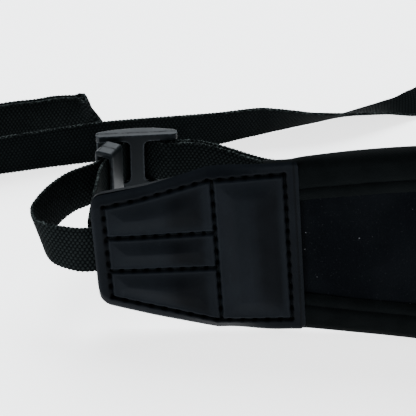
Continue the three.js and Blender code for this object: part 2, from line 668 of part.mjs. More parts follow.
// Stretch from the far tab to the far keeper: places on the table as shares of its reach, with the strap's lean.
// Where the strap doesn't lie on the table, lift gives its share of the way up to the tab.
const FAR_STRETCH = [
  { x: 1.385, y: 1.505, lift: 0.62, lean: 30 },
  { x: 1.27, y: 1.418, lift: 0.24, lean: 72 },
  { x: 1.133, y: 1.324, lift: 0, lean: 98 },
  { x: 0.989, y: 1.256, lift: 0, lean: 75 },
  { x: 0.837, y: 1.178, lift: 0, lean: 58 },
  { x: 0.694, y: 1.127, lift: 0, lean: 43 },
  { x: 0.517, y: 1.084, lift: 0, lean: 18 },
  { x: 0.361, y: 1.031, lift: 0, lean: 8 },
  { x: 0.15, y: 0.985, lift: 0, lean: -3 },
  { x: -0.057, y: 0.943, lift: 0, lean: -13 },
  { x: -0.254, y: 0.891, lift: 0, lean: -6 },
  { x: -0.408, y: 0.846, lift: 0, lean: -2 },
  { x: -0.8, y: 0.742, lift: 0, lean: 0 },
  { x: -1.12, y: 0.662, lift: 0, lean: 0 },
];

// Turn back to the far keeper, round the tail's end: shares of its reach and of the way aside to the stretch.
const FAR_TURN = [
  { back: 0.97, aside: -0.66 },
  { back: 1.06, aside: -0.3 },
  { back: 1.0, aside: 0.02 },
  { back: 0.7, aside: 0.07 },
  { back: 0.35, aside: 0.03 },
];

// Tail of the near strap: straight out of the keeper, then toward the tab.
const NEAR_TAIL_BEND = [
  { share: 0, turn: 0 },
  { share: 0.14, turn: 20 },
  { share: 1, turn: 23 },
];
const FAR_TAIL_BEND = [
  { share: 0, turn: 0 },
  { share: 1, turn: -3 },
];

function tailRows(exit, heading, table, length, endHeight) {
  const steps = Math.ceil(length / TAIL_STEP);
  const rows = [];
  const place = new THREE.Vector2(exit.x, exit.y);
  for (let i = 1; i <= steps; i += 1) {
    const share = i / steps;
    const along = rad(heading + fromTable(table, share - 0.5 / steps, "turn"));
    place.x += (Math.cos(along) * length) / steps;
    place.y += (Math.sin(along) * length) / steps;
    rows.push({ x: place.x, y: place.y, z: mix(exit.z, endHeight, share), lean: 0 });
  }
  return rows;
}

// Stations of a strap through all rows, on one smooth curve with steps of at most the given length.
function stationsThrough(rows, step) {
  const places = rows.map((row) => new THREE.Vector3(row.x, row.y, row.z));
  const curve = new THREE.CatmullRomCurve3(places, false, "centripetal");
  const stations = [];
  for (let i = 0; i + 1 < rows.length; i += 1) {
    const reach = Math.hypot(rows[i + 1].x - rows[i].x, rows[i + 1].y - rows[i].y);
    const parts = Math.max(1, Math.ceil(reach / step));
    for (let k = 0; k < parts; k += 1) {
      const point = curve.getPoint((i + k / parts) / (rows.length - 1));
      const lean = mix(rows[i].lean, rows[i + 1].lean, k / parts);
      stations.push({ x: point.x, y: point.y, z: Math.max(point.z, restingHeight(lean)), lean });
    }
  }
  return [...stations, rows[rows.length - 1]];
}

function webbing(rows) {
  const half = WEBBING_WIDTH / 2;
  const section = [[HALF_WEBBING, -half], [HALF_WEBBING, half], [-HALF_WEBBING, half], [-HALF_WEBBING, -half]];
  return sweep(framesAlong(stationsThrough(rows, WEBBING_STEP)), () => section);
}

function nearWebbing() {
  const route = fittingRoute(nearFitting, NEAR_KEEPER_DISTANCE, NEAR_KEEPER_SWING, nearRun);
  const inside = [TAB_WEBBING_OVERLAP, TAB_WEBBING_OVERLAP / 2, 0]
    .map((distance) => ({ ...padRow(distance), lean: -PAD_LEAN }));
  const depth = route.out[0].y;
  const bend = NEAR_BEND.map((row) => ({ x: -row.left * NEAR_BEND_REACH, y: row.back * depth,
    z: mix(TAB_NARROW_CENTRE, NEAR_SLIDER_Z, row.rise), lean: row.lean }));
  const exit = route.back[route.back.length - 1];
  const heading = NEAR_SLIDER_HEADING + NEAR_KEEPER_SWING + 180;
  const tail = tailRows(exit, heading, NEAR_TAIL_BEND, NEAR_TAIL, NEAR_SLIDER_Z - 1);
  return webbing([...inside, ...bend, ...route.out, ...route.lug, ...route.back, ...tail]);
}

function farWebbing() {
  const route = fittingRoute(farFitting, FAR_KEEPER_DISTANCE, FAR_KEEPER_SWING, farRun);
  const inside = [TAB_WEBBING_OVERLAP, TAB_WEBBING_OVERLAP / 2, 0, -TAB_EXIT]
    .map((distance) => padRow(STRAP_LENGTH - distance));
  const stretch = FAR_STRETCH.map((row) => ({ x: row.x * FAR_STRETCH_REACH, y: row.y * FAR_STRETCH_REACH,
    z: mix(restingHeight(row.lean), TAB_NARROW_CENTRE, row.lift), lean: row.lean }));
  const keeperEnd = route.out[0];
  const exit = route.back[route.back.length - 1];
  const heading = FAR_SLIDER_HEADING + FAR_KEEPER_SWING;
  const along = new THREE.Vector2(Math.cos(rad(heading)), Math.sin(rad(heading)));
  const left = new THREE.Vector2(-along.y, along.x);
  const last = stretch[stretch.length - 1];
  const reach = FAR_TAIL + FAR_TURN_CLEARANCE;
  const gap = last.y - keeperEnd.y;
  const turn = FAR_TURN.map((row) => {
    return { x: keeperEnd.x - along.x * row.back * reach - left.x * row.aside * gap,
      y: keeperEnd.y - along.y * row.back * reach - left.y * row.aside * gap, z: restingHeight(0), lean: 0 };
  });
  const low = (row) => ({ ...row, z: farFitting.z });
  const tail = tailRows(exit, heading + 180, FAR_TAIL_BEND, FAR_TAIL, restingHeight(0));
  return webbing([...inside, ...stretch, ...turn, ...route.out.map(low), ...route.lug, ...route.back, ...tail]);
}

// Assembly

function piece(name, geometry, [color, roughness]) {
  const mesh = new THREE.Mesh(geometry, finish(color, roughness));
  mesh.name = name;
  return mesh;
}

// Slider and keeper of one end, in a group that stands where the slider does.
function fittingGroup(end, fitting, distance, swing) {
  const group = new THREE.Group();
  group.position.set(fitting.x, fitting.y, fitting.z);
  group.rotation.z = rad(fitting.heading);
  const ring = piece(`keeper_${end}`, keeper(), PLASTIC);
  const place = keeperPlace(distance, swing);
  ring.position.set(place.x, place.y, 0);
  ring.rotation.z = rad(swing);
  group.add(piece(`slider_${end}`, slider(), PLASTIC), ring);
  return group;
}

const strap = new THREE.Group();
strap.add(
  piece("pad_core", padCore(), NEOPRENE),
  piece("pad_binding_upper", padBinding(1), BINDING),
  piece("pad_binding_lower", padBinding(-1), BINDING),
  piece("tab_near_face", tabSheet(1, 1), LEATHERETTE),
  piece("tab_near_back", tabSheet(-1, 1), LEATHERETTE),
  piece("tab_far_face", tabSheet(1, -1), LEATHERETTE),
  piece("tab_far_back", tabSheet(-1, -1), LEATHERETTE),
  piece("webbing_near", nearWebbing(), WEBBING),
  piece("webbing_far", farWebbing(), WEBBING),
  fittingGroup("near", nearFitting, NEAR_KEEPER_DISTANCE, NEAR_KEEPER_SWING),
  fittingGroup("far", farFitting, FAR_KEEPER_DISTANCE, FAR_KEEPER_SWING),
);

// The origin lies under the middle of the strap's box, on the table.
const box = new THREE.Box3().setFromObject(strap);
strap.position.set(-(box.min.x + box.max.x) / 2, -(box.min.y + box.max.y) / 2, -box.min.z);

const cameraNeckStrap = new THREE.Group();
cameraNeckStrap.add(strap);

export default cameraNeckStrap;
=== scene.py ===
"""Camera neck strap: stitched leatherette tabs on a padded band, with woven webbing, sliders and keepers."""

import logging
import math
from collections.abc import Sequence
from dataclasses import dataclass, field
from enum import Enum

import bpy
import numpy as np
from mathutils import Matrix, Vector, noise


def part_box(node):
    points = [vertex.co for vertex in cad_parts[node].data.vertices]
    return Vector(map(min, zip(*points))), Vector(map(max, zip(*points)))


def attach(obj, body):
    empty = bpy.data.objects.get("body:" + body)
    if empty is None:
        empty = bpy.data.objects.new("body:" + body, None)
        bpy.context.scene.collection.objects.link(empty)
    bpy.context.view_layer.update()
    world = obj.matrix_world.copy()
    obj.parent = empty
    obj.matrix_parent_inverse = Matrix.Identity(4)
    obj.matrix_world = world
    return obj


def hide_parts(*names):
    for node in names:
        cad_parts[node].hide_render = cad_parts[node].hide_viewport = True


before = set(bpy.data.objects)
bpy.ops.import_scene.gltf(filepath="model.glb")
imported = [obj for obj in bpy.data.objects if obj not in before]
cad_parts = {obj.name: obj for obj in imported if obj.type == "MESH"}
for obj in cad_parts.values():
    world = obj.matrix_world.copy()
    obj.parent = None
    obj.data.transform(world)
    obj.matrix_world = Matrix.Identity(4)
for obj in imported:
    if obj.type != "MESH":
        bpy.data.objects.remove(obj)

MM = 0.001
BODY = "root"
Colour = tuple[float, float, float]
GLOSS_TINT: Colour = (0.82, 0.88, 1.0)
log = logging.getLogger("neck strap")


class End(Enum):
    """The two ends of the strap."""

    NEAR = "near"
    FAR = "far"


# Shader values and node trees


class Value:
    """One number in a shader, on which arithmetic adds Math nodes."""

    def __init__(self, graph: "Graph", socket: bpy.types.NodeSocket) -> None:
        """Keeps the node tree and the socket that the number comes from."""
        self.graph = graph
        self.socket = socket

    def __add__(self, other: "Value | float") -> "Value":
        """Sum."""
        return self.graph.math("ADD", self, other)

    __radd__ = __add__

    def __mul__(self, other: "Value | float") -> "Value":
        """Product."""
        return self.graph.math("MULTIPLY", self, other)

    __rmul__ = __mul__

    def __sub__(self, other: "Value | float") -> "Value":
        """Difference."""
        return self.graph.math("SUBTRACT", self, other)

    def __rsub__(self, other: float) -> "Value":
        """Difference from a plain number."""
        return self.graph.math("SUBTRACT", other, self)

    def __truediv__(self, other: "Value | float") -> "Value":
        """Quotient."""
        return self.graph.math("DIVIDE", self, other)

    def __pow__(self, other: float) -> "Value":
        """Power."""
        return self.graph.math("POWER", self, other)

    def floor(self) -> "Value":
        """Whole part."""
        return self.graph.math("FLOOR", self)

    def wave(self, turns: float = 1.0) -> "Value":
        """Cosine wave from 0 to 1 that repeats the given number of times for each step of 1."""
        return self.graph.math("COSINE", self * (2 * math.pi * turns)) * 0.5 + 0.5

    def between(self, low: float, high: float) -> "Value":
        """Smooth step that is 0 at low and 1 at high.

        Args:
            low: Value at which the step starts.
            high: Value at which it ends.

        Returns:
            The stepped value.
        """
        node = self.graph.node("ShaderNodeMapRange", {"interpolation_type": "SMOOTHSTEP"},
                               {"Value": self, "From Min": low, "From Max": high})
        return Value(self.graph, node.outputs["Result"])


class Graph:
    """Node tree of one material."""

    def __init__(self, name: str) -> None:
        """Starts a material of the given name.

        Args:
            name: The material's name.
        """
        self.material = bpy.data.materials.new(name)
        self.material.use_nodes = True
        self.tree = self.material.node_tree
        self.shader = self.tree.nodes["Principled BSDF"]

    def node(self, kind: str, settings: dict | None = None, inputs: dict | None = None) -> bpy.types.Node:
        """Adds a node.

        Args:
            kind: The node's type.
            settings: Its own settings, set first.
            inputs: Values or links of its sockets, by name or number.

        Returns:
            The new node.
        """
        node = self.tree.nodes.new(kind)
        for key, setting in (settings or {}).items():
            setattr(node, key, setting)
        for key, value in (inputs or {}).items():
            self.feed(node.inputs[key], value)
        return node

    def feed(self, target: bpy.types.NodeSocket, value: object) -> None:
        """Links a value to a socket, or sets it there when it is a plain number or colour.

        Args:
            target: The socket that is fed.
            value: A value, a socket, a number or a colour.
        """
        if isinstance(value, Value):
            value = value.socket
        if isinstance(value, bpy.types.NodeSocket):
            self.tree.links.new(value, target)
        elif isinstance(value, tuple) and len(value) == 3 and target.type == "RGBA":
            target.default_value = (*value, 1.0)
        else:
            target.default_value = value

    def math(self, operation: str, *values: "Value | float") -> Value:
        """A Math node of the given operation on one or two values."""
        node = self.node("ShaderNodeMath", {"operation": operation}, dict(enumerate(values)))
        return Value(self, node.outputs[0])

    def place(self) -> bpy.types.NodeSocket:
        """The point's place on the piece, in metres."""
        return self.node("ShaderNodeTexCoord").outputs["Object"]

    def cloth(self) -> tuple[Value, Value]:
        """Distances in metres across and along the piece, from its own UV map.

        Returns:
            The distance across and the distance along.
        """
        uv = self.node("ShaderNodeTexCoord").outputs["UV"]
        split = self.node("ShaderNodeSeparateXYZ", None, {"Vector": uv})
        return Value(self, split.outputs["X"]), Value(self, split.outputs["Y"])

    def attribute(self, name: str) -> Value:
        """A number that is stored on the piece's points."""
        node = self.node("ShaderNodeAttribute", {"attribute_name": name})
        return Value(self, node.outputs["Fac"])

    def cloud(self, size: float, detail: float = 3.0, stretch: Sequence[float] = (1, 1, 1)) -> Value:
        """Noise with blotches of the given size in metres.

        Args:
            size: Size of the blotches.
            detail: How many finer layers lie on them.
            stretch: Scale along each axis, less than 1 for longer blotches.

        Returns:
            The noise, about 0.5 on average.
        """
        mapping = self.node("ShaderNodeMapping", None, {"Vector": self.place(), "Scale": tuple(stretch)})
        node = self.node("ShaderNodeTexNoise", None,
                         {"Vector": mapping.outputs["Vector"], "Scale": 1 / size, "Detail": detail})
        return Value(self, node.outputs["Fac"])

    def cells(self, size: float) -> Value:
        """Distance from the middle of rounded cells of the given size in metres."""
        node = self.node("ShaderNodeTexVoronoi", None, {"Vector": self.place(), "Scale": 1 / size})
        return Value(self, node.outputs["Distance"])

    def blend(self, factor: Value, low: object, high: object) -> bpy.types.NodeSocket:
        """Colour between two others.

        Args:
            factor: 0 for the first colour, 1 for the second.
            low: The first colour.
            high: The second colour.

        Returns:
            The socket of the blended colour.
        """
        node = self.node("ShaderNodeMix", {"data_type": "RGBA"})
        self.feed(node.inputs[0], factor)
        self.feed(node.inputs[6], low)
        self.feed(node.inputs[7], high)
        return node.outputs[2]

    def relief(self, height: Value, depth: float, strength: float = 1.0) -> None:
        """Small relief of the given depth in metres."""
        bump = self.node("ShaderNodeBump", None, {"Height": height, "Distance": depth, "Strength": strength})
        self.feed(self.shader.inputs["Normal"], bump.outputs["Normal"])

    def surface(self, colour: object, roughness: object, gloss: float) -> bpy.types.Material:
        """Sets the shader's colour and roughness and its constant gloss, and returns the material.

        Args:
            colour: Colour or its socket.
            roughness: Roughness or its value.
            gloss: The shader's constant specular level.

        Returns:
            The finished material.
        """
        self.feed(self.shader.inputs["Base Color"], colour)
        self.feed(self.shader.inputs["Roughness"], roughness)
        self.feed(self.shader.inputs["Specular IOR Level"], gloss)
        self.feed(self.shader.inputs["Specular Tint"], GLOSS_TINT)
        return self.material


# Finishes


@dataclass(frozen=True)
class Webbing:
    """Flat woven webbing: warp cords along the strap, staggered picks, pale wear at the selvedges."""

    name: str = "woven_webbing"
    width: float = 15 * MM
    cords: int = 14
    pick_pitch: float = 1.35 * MM
    pick_share: float = 0.72
    relief: float = 0.30 * MM
    roughness: float = 0.88
    gloss: float = 0.012
    valley: Colour = (0.0004, 0.0007, 0.0008)
    crest: Colour = (0.0088, 0.0112, 0.0113)
    lint: Colour = (0.046, 0.056, 0.055)
    fleck: float = 0.3
    # Where along the strap the free stretch is darkened by painted shade, and how strongly.
    shade_from: float = 50 * MM
    full_shade_from: float = 70 * MM
    full_shade_to: float = 340 * MM
    shade_to: float = 400 * MM
    painted_shade: float = 0.0

    def material(self) -> bpy.types.Material:
        """Builds the weave from the strap's own UV map, with its free stretch darkened by painted shade.

        Returns:
            The new material.
        """
        graph = Graph(self.name)
        across, along = graph.cloth()
        wobble = graph.cloud(3 * MM, 2)
        cords = across / (self.width / self.cords) + wobble * 0.25
        picks = along / self.pick_pitch + wobble * 0.35
        crown = graph.math("ABSOLUTE", graph.math("SINE", cords * math.pi))
        dash = (picks + cords.floor() * 0.5).wave()
        height = (crown ** 0.5 * 0.6 + 0.4) * (dash * self.pick_share + (1 - self.pick_share))
        blotch = graph.cloud(9 * MM, 4)
        tone = height * (blotch * 0.7 + 0.55)
        edge = graph.math("ABSOLUTE", across / self.width - 0.5).between(0.455, 0.5)
        fray = graph.cloud(0.7 * MM, 4).between(0.47, 0.68)
        colour = graph.blend(tone.between(0.05, 0.95), self.valley, self.crest)
        # Painted shade: the free stretch away from both ends is darkened towards the valley colour.
        shaded_stretch = along.between(self.shade_from, self.full_shade_from)
        shaded_stretch = shaded_stretch * (1 - along.between(self.full_shade_to, self.shade_to))
        colour = graph.blend(shaded_stretch * self.painted_shade, colour, self.valley)
        colour = graph.blend(edge * fray, colour, self.lint)
        fleck = graph.cloud(0.35 * MM, 2).between(0.70, 0.80)
        colour = graph.blend(fleck * self.fleck, colour, self.lint)
        graph.relief(height, self.relief)
        return graph.surface(colour, self.roughness - height * 0.08, self.gloss)


@dataclass(frozen=True)
class Leatherette:
    """Smooth coated sheet with a fine grain and scuffs, whose stored tone paints highlights on its rounded
    edges and lips and shade on its panels' slopes, and whose needle holes and seams are darkened by painted
    shade.
    """

    name: str = "leatherette"
    base: Colour = (0.0006, 0.0009, 0.0013)
    # The paler tone, which the stored painted highlights and a random cloud blend in.
    pale: Colour = (0.0058, 0.0076, 0.0100)
    scuffed: Colour = (0.018, 0.022, 0.026)
    # Colour of the painted shade in needle holes, seam grooves and the border's step.
    hole: Colour = (0.0003, 0.0004, 0.0004)
    relief: float = 0.035 * MM
    roughness: float = 0.44
    gloss: float = 0.036

    def material(self) -> bpy.types.Material:
        """Builds the sheet from its place, with its painted highlights and painted shade from the piece's own
        attributes.

        Returns:
            The new material.
        """
        graph = Graph(self.name)
        rim = graph.attribute("rim")
        cloud = graph.cloud(11 * MM, 4)
        grain = graph.cloud(0.45 * MM, 3)
        pore = graph.cells(0.9 * MM).between(0.02, 0.38)
        # Painted light: the stored tone makes edges and lips paler as painted highlights and panel slopes
        # darker as painted shade.
        tone = rim * 0.8 + cloud.between(0.35, 0.75) * 0.2
        colour = graph.blend(tone, self.base, self.pale)
        scuff = graph.cloud(1.6 * MM, 5, (1, 1, 0.3)).between(0.62, 0.8) * rim
        colour = graph.blend(scuff * 0.25, colour, self.scuffed)
        # Painted shade: darkens the needle holes, the seam grooves and the border's step.
        colour = graph.blend(graph.attribute("hole"), colour, self.hole)
        graph.relief(grain * 0.6 + pore * 0.4, self.relief, 0.8)
        return graph.surface(colour, grain * 0.14 + self.roughness - rim * 0.04, self.gloss)


@dataclass(frozen=True)
class Neoprene:
    """Foam pad with a fine jersey face and a few specks of lint."""

    name: str = "neoprene_jersey"
    base: Colour = (0.0013, 0.0017, 0.0023)
    pale: Colour = (0.0024, 0.0030, 0.0038)
    lint: Colour = (0.30, 0.31, 0.34)
    wale_pitch: float = 0.62 * MM
    course_pitch: float = 0.8 * MM
    dust: float = 0.03
    speck: float = 0.32
    relief: float = 0.05 * MM
    roughness: float = 0.9
    gloss: float = 0.02

    def material(self) -> bpy.types.Material:
        """Builds the knit from the piece's own UV map and the lint from its place.

        Returns:
            The new material.
        """
        graph = Graph(self.name)
        across, along = graph.cloth()
        knit = (across / self.wale_pitch).wave() * (along / self.course_pitch).wave()
        cloud = graph.cloud(14 * MM, 4)
        colour = graph.blend(cloud.between(0.3, 0.7), self.base, self.pale)
        dust = graph.cloud(0.42 * MM, 2).between(0.62, 0.80)
        colour = graph.blend(dust * self.dust, colour, self.lint)
        speck = 1 - graph.cells(4.2 * MM).between(0.030, 0.050)
        sparse = graph.cloud(5 * MM, 2).between(0.46, 0.50)
        colour = graph.blend(speck * sparse * self.speck, colour, self.lint)
        graph.relief(knit + graph.cloud(0.5 * MM, 3), self.relief, 0.6)
        return graph.surface(colour, self.roughness, self.gloss)


@dataclass(frozen=True)
class EdgeTape:
    """Soft woven tape that binds the pad's edges."""

    name: str = "edge_tape"
    base: Colour = (0.0010, 0.0015, 0.0015)
    pale: Colour = (0.0024, 0.0032, 0.0033)
    # Colour of the painted shade in the sewn groove.
    sunk: Colour = (0.0008, 0.0010, 0.0012)
    twill_pitch: float = 0.75 * MM
    weft_pitch: float = 0.5 * MM
    relief: float = 0.07 * MM
    roughness: float = 0.82
    gloss: float = 0.03

    def material(self) -> bpy.types.Material:
        """Builds the fine twill from the piece's own UV map, and painted shade in the sewn groove from its
        attribute.

        Returns:
            The new material.
        """
        graph = Graph(self.name)
        across, along = graph.cloth()
        weft = ((across - along * 0.4) / self.weft_pitch).wave()
        twill = ((across + along) / self.twill_pitch).wave() * weft
        cloud = graph.cloud(7 * MM, 4)
        colour = graph.blend(twill * 0.45 + cloud.between(0.3, 0.7) * 0.55, self.base, self.pale)
        # Painted shade: the sewn groove is darkened.
        colour = graph.blend(graph.attribute("groove"), colour, self.sunk)
        graph.relief(twill + graph.cloud(0.6 * MM, 3), self.relief, 0.8)
        return graph.surface(colour, self.roughness, self.gloss)


@dataclass(frozen=True)
class MouldedPlastic:
    """Satin moulding with faint flow marks, and corners made paler by wear and a painted highlight."""

    name: str = "moulded_plastic"
    base: Colour = (0.0034, 0.0048, 0.0054)
    # Paler colour of the corners, for wear and a painted highlight.
    wear_and_highlight: Colour = (0.030, 0.036, 0.042)
    joined: Colour = (0.0006, 0.0008, 0.0009)
    relief: float = 0.018 * MM
    roughness: float = 0.32
    gloss: float = 0.07

    def material(self) -> bpy.types.Material:
        """Builds the moulding from its place, with wear and a painted highlight on its corners from the
        piece's own attribute.

        Returns:
            The new material.
        """
        graph = Graph(self.name)
        flow = graph.cloud(5 * MM, 3, (1, 1, 2.2))
        fine = graph.cloud(0.28 * MM, 3)
        corner = graph.attribute("corner")
        # Corners are paler in patches: partly wear, partly a painted highlight on the turned edges.
        wear_and_highlight_mask = corner * graph.cloud(1.1 * MM, 4).between(0.30, 0.62)
        colour = graph.blend(wear_and_highlight_mask * 0.75, self.base, self.wear_and_highlight)
        parting = graph.attribute("parting")
        colour = graph.blend(parting * 0.8, colour, self.joined)
        graph.relief(fine, self.relief, 0.7)
        return graph.surface(colour, flow * 0.16 + parting * 0.4 + self.roughness, self.gloss)


@dataclass(frozen=True)
class Thread:
    """Twisted sewing thread."""

    name: str = "sewing_thread"
    base: Colour = (0.0012, 0.0016, 0.0016)
    pale: Colour = (0.0060, 0.0074, 0.0070)
    relief: float = 0.06 * MM
    roughness: float = 0.8
    gloss: float = 0.06

    def material(self) -> bpy.types.Material:
        """Builds the thread's twist as fine streaks.

        Returns:
            The new material.
        """
        graph = Graph(self.name)
        streak = graph.cloud(0.25 * MM, 3, (1, 1, 2))
        colour = graph.blend(streak.between(0.45, 0.75), self.base, self.pale)
        graph.relief(streak, self.relief)
        return graph.surface(colour, self.roughness, self.gloss)


@dataclass(frozen=True)
class Lint:
    """Loose fibre ends along the cut and woven edges."""

    name: str = "loose_fibres"
    base: Colour = (0.012, 0.016, 0.016)
    pale: Colour = (0.095, 0.108, 0.106)
    roughness: float = 0.85
    gloss: float = 0.06

    def material(self) -> bpy.types.Material:
        """Builds fibres that differ in tone along the strap.

        Returns:
            The new material.
        """
        graph = Graph(self.name)
        colour = graph.blend(graph.cloud(2.5 * MM, 3).between(0.4, 0.65), self.base, self.pale)
        return graph.surface(colour, self.roughness, self.gloss)


@dataclass(frozen=True)
class PaleFloor:
    """Plain pale surface that the strap lies on."""

    name: str = "pale_floor"
    tone: Colour = (0.96, 0.965, 0.97)
    mottled: Colour = (0.90, 0.905, 0.91)
    glow: float = 2.4
    roughness: float = 0.8
    gloss: float = 0.05

    def material(self) -> bpy.types.Material:
        """Builds a plain matte surface with the faintest mottle.

        Returns:
            The new material.
        """
        graph = Graph(self.name)
        mottle = graph.cloud(60 * MM, 2)
        colour = graph.blend(mottle * 0.02, self.tone, self.mottled)
        graph.shader.inputs["Emission Color"].default_value = (*self.tone, 1.0)
        graph.shader.inputs["Emission Strength"].default_value = self.glow
        return graph.surface(colour, self.roughness, self.gloss)


# Meshes that are laid along a route


@dataclass(frozen=True)
class Station:
    """One place on a strap: its middle, its direction, its width direction and its right-hand side."""

    point: Vector
    along: Vector
    width: Vector
    side: Vector

    def at(self, side: float, width: float) -> Vector:
        """The point that lies the given distances off the middle."""
        return self.point + self.side * side + self.width * width


def ease(value: float) -> float:
    """Smooth step from 0 to 1."""
    value = min(max(value, 0.0), 1.0)
    return value * value * (3 - 2 * value)


def clamp01(value: float) -> float:
    """The value held between 0 and 1."""
    return min(max(value, 0.0), 1.0)


def mix(low: float, high: float, share: float) -> float:
    """The value at a share of the way from low to high."""
    return low + (high - low) * share


def facing(travel: Vector, lean: float, point: Vector) -> Station:
    """A station with its travel direction and its lean in degrees toward the left of travel.

    Args:
        travel: Direction of travel, of any length.
        lean: Lean of the width direction.
        point: The middle.

    Returns:
        The station.
    """
    along = travel.normalized()
    left = Vector((-along.y, along.x, 0)).normalized()
    width = Vector((0, 0, math.cos(math.radians(lean)))) + left * math.sin(math.radians(lean))
    width = (width - along * width.dot(along)).normalized()
    return Station(point, along, width, along.cross(width))


def start_alone() -> None:
    """Clears the frame's selection, so that the next operator acts on its own piece."""
    bpy.ops.object.select_all(action="DESELECT")


def laid_sheet(name: str, points: np.ndarray, cloth: np.ndarray) -> bpy.types.Object:
    """A grid primitive whose points are laid on rows of places.

    Args:
        name: The piece's name.
        points: Places in metres, as rows by columns by 3. Faces point to column direction x row direction.
        cloth: Distances in metres across and along the piece at the same points, as rows by columns by 2.

    Returns:
        The new object, which is the active one.
    """
    rows, columns = points.shape[:2]
    start_alone()
    bpy.ops.mesh.primitive_grid_add(x_subdivisions=columns - 1, y_subdivisions=rows - 1, size=1)
    piece = bpy.context.object
    piece.name = name
    mesh = piece.data
    mesh.name = name
    flat = np.zeros(len(mesh.vertices) * 3)
    mesh.vertices.foreach_get("co", flat)
    flat = flat.reshape(-1, 3)
    column = np.rint((flat[:, 0] + 0.5) * (columns - 1)).astype(int)
    row = np.rint((flat[:, 1] + 0.5) * (rows - 1)).astype(int)
    mesh.vertices.foreach_set("co", points[row, column].astype(np.float32).ravel())
    corners = np.zeros(len(mesh.loops), int)
    mesh.loops.foreach_get("vertex_index", corners)
    layer = mesh.uv_layers.active or mesh.uv_layers.new(name="cloth")
    layer.data.foreach_set("uv", cloth[row[corners], column[corners]].astype(np.float32).ravel())
    mesh.update()
    return piece


def store(piece: bpy.types.Object, name: str, values: np.ndarray) -> None:
    """Stores one number on each point of a piece, from its values in order or in rows by columns."""
    layer = piece.data.attributes.new(name, "FLOAT", "POINT")
    layer.data.foreach_set("value", values.astype(np.float32).ravel())


def apply_all(piece: bpy.types.Object) -> None:
    """Applies every modifier of the piece.

    Args:
        piece: The piece.
    """
    start_alone()
    piece.select_set(True)
    bpy.context.view_layer.objects.active = piece
    for modifier in list(piece.modifiers):
        bpy.ops.object.modifier_apply(modifier=modifier.name)


def thicken(piece: bpy.types.Object, walls: np.ndarray | float, offset: float) -> None:
    """Gives a laid sheet its thickness.

    Args:
        piece: The sheet.
        walls: Thickness in metres, one for all points or rows by columns of them.
        offset: -1 for a wall behind the sheet, 0 for one on both sides.
    """
    full = float(np.max(walls))
    wall = piece.modifiers.new("wall", "SOLIDIFY")
    wall.thickness = full
    wall.offset = offset
    wall.use_even_offset = False
    if isinstance(walls, np.ndarray):
        group = piece.vertex_groups.new(name="wall")
        for index, share in enumerate((walls / full).ravel().tolist()):
            group.add([index], share, "REPLACE")
        wall.vertex_group = group.name
    apply_all(piece)


def smooth(piece: bpy.types.Object, angle: float = 40) -> None:
    """Shades the piece smooth, apart from edges sharper than the angle in degrees.

    Args:
        piece: The piece.
        angle: The angle.
    """
    start_alone()
    piece.select_set(True)
    bpy.context.view_layer.objects.active = piece
    bpy.ops.object.shade_smooth_by_angle(angle=math.radians(angle))


def settle(piece: bpy.types.Object) -> None:
    """Flattens whatever would reach below the table.

    Args:
        piece: The piece.
    """
    flat = np.zeros(len(piece.data.vertices) * 3, np.float32)
    piece.data.vertices.foreach_get("co", flat)
    flat[2::3] = np.maximum(flat[2::3], 0)
    piece.data.vertices.foreach_set("co", flat)
    piece.data.update()


def dress(piece: bpy.types.Object, material: bpy.types.Material, slot: str, *nodes: str) -> None:
    """Gives a piece its material, and sets it on the frame in place of its CAD nodes.

    Args:
        piece: The piece.
        material: Its finish.
        slot: Not used.
        nodes: Names of the CAD nodes that it stands for, if any.
    """
    settle(piece)
    piece.data.materials.clear()
    piece.data.materials.append(material)
    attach(piece, BODY)
    if nodes:
        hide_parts(*nodes)
    log.info("%s: %d faces", piece.name, len(piece.data.polygons))


def copies(name: str, base: bpy.types.Object, places: Sequence[Matrix]) -> bpy.types.Object:
    """One mesh of many copies of a small one.

    Args:
        name: The new piece's name.
        base: The small mesh that is copied. It is removed.
        places: Where each copy goes, with its turn and scale.

    Returns:
        The new piece.
    """
    source = base.data
    points = np.array([v.co[:] for v in source.vertices])
    faces = [tuple(p.vertices) for p in source.polygons]
    all_points: list[np.ndarray] = []
    all_faces: list[tuple[int, ...]] = []
    for place in places:
        turned = np.array(place)
        offset = len(all_points) * len(points)
        all_points.append(points @ turned[:3, :3].T + turned[:3, 3])
        all_faces.extend(tuple(offset + i for i in face) for face in faces)
    mesh = bpy.data.meshes.new(name)
    mesh.from_pydata(np.concatenate(all_points).tolist(), [], all_faces)
    mesh.update()
    piece = bpy.data.objects.new(name, mesh)
    bpy.context.scene.collection.objects.link(piece)
    bpy.data.objects.remove(base)
    return piece


# The strap's route and sizes, in millimetres


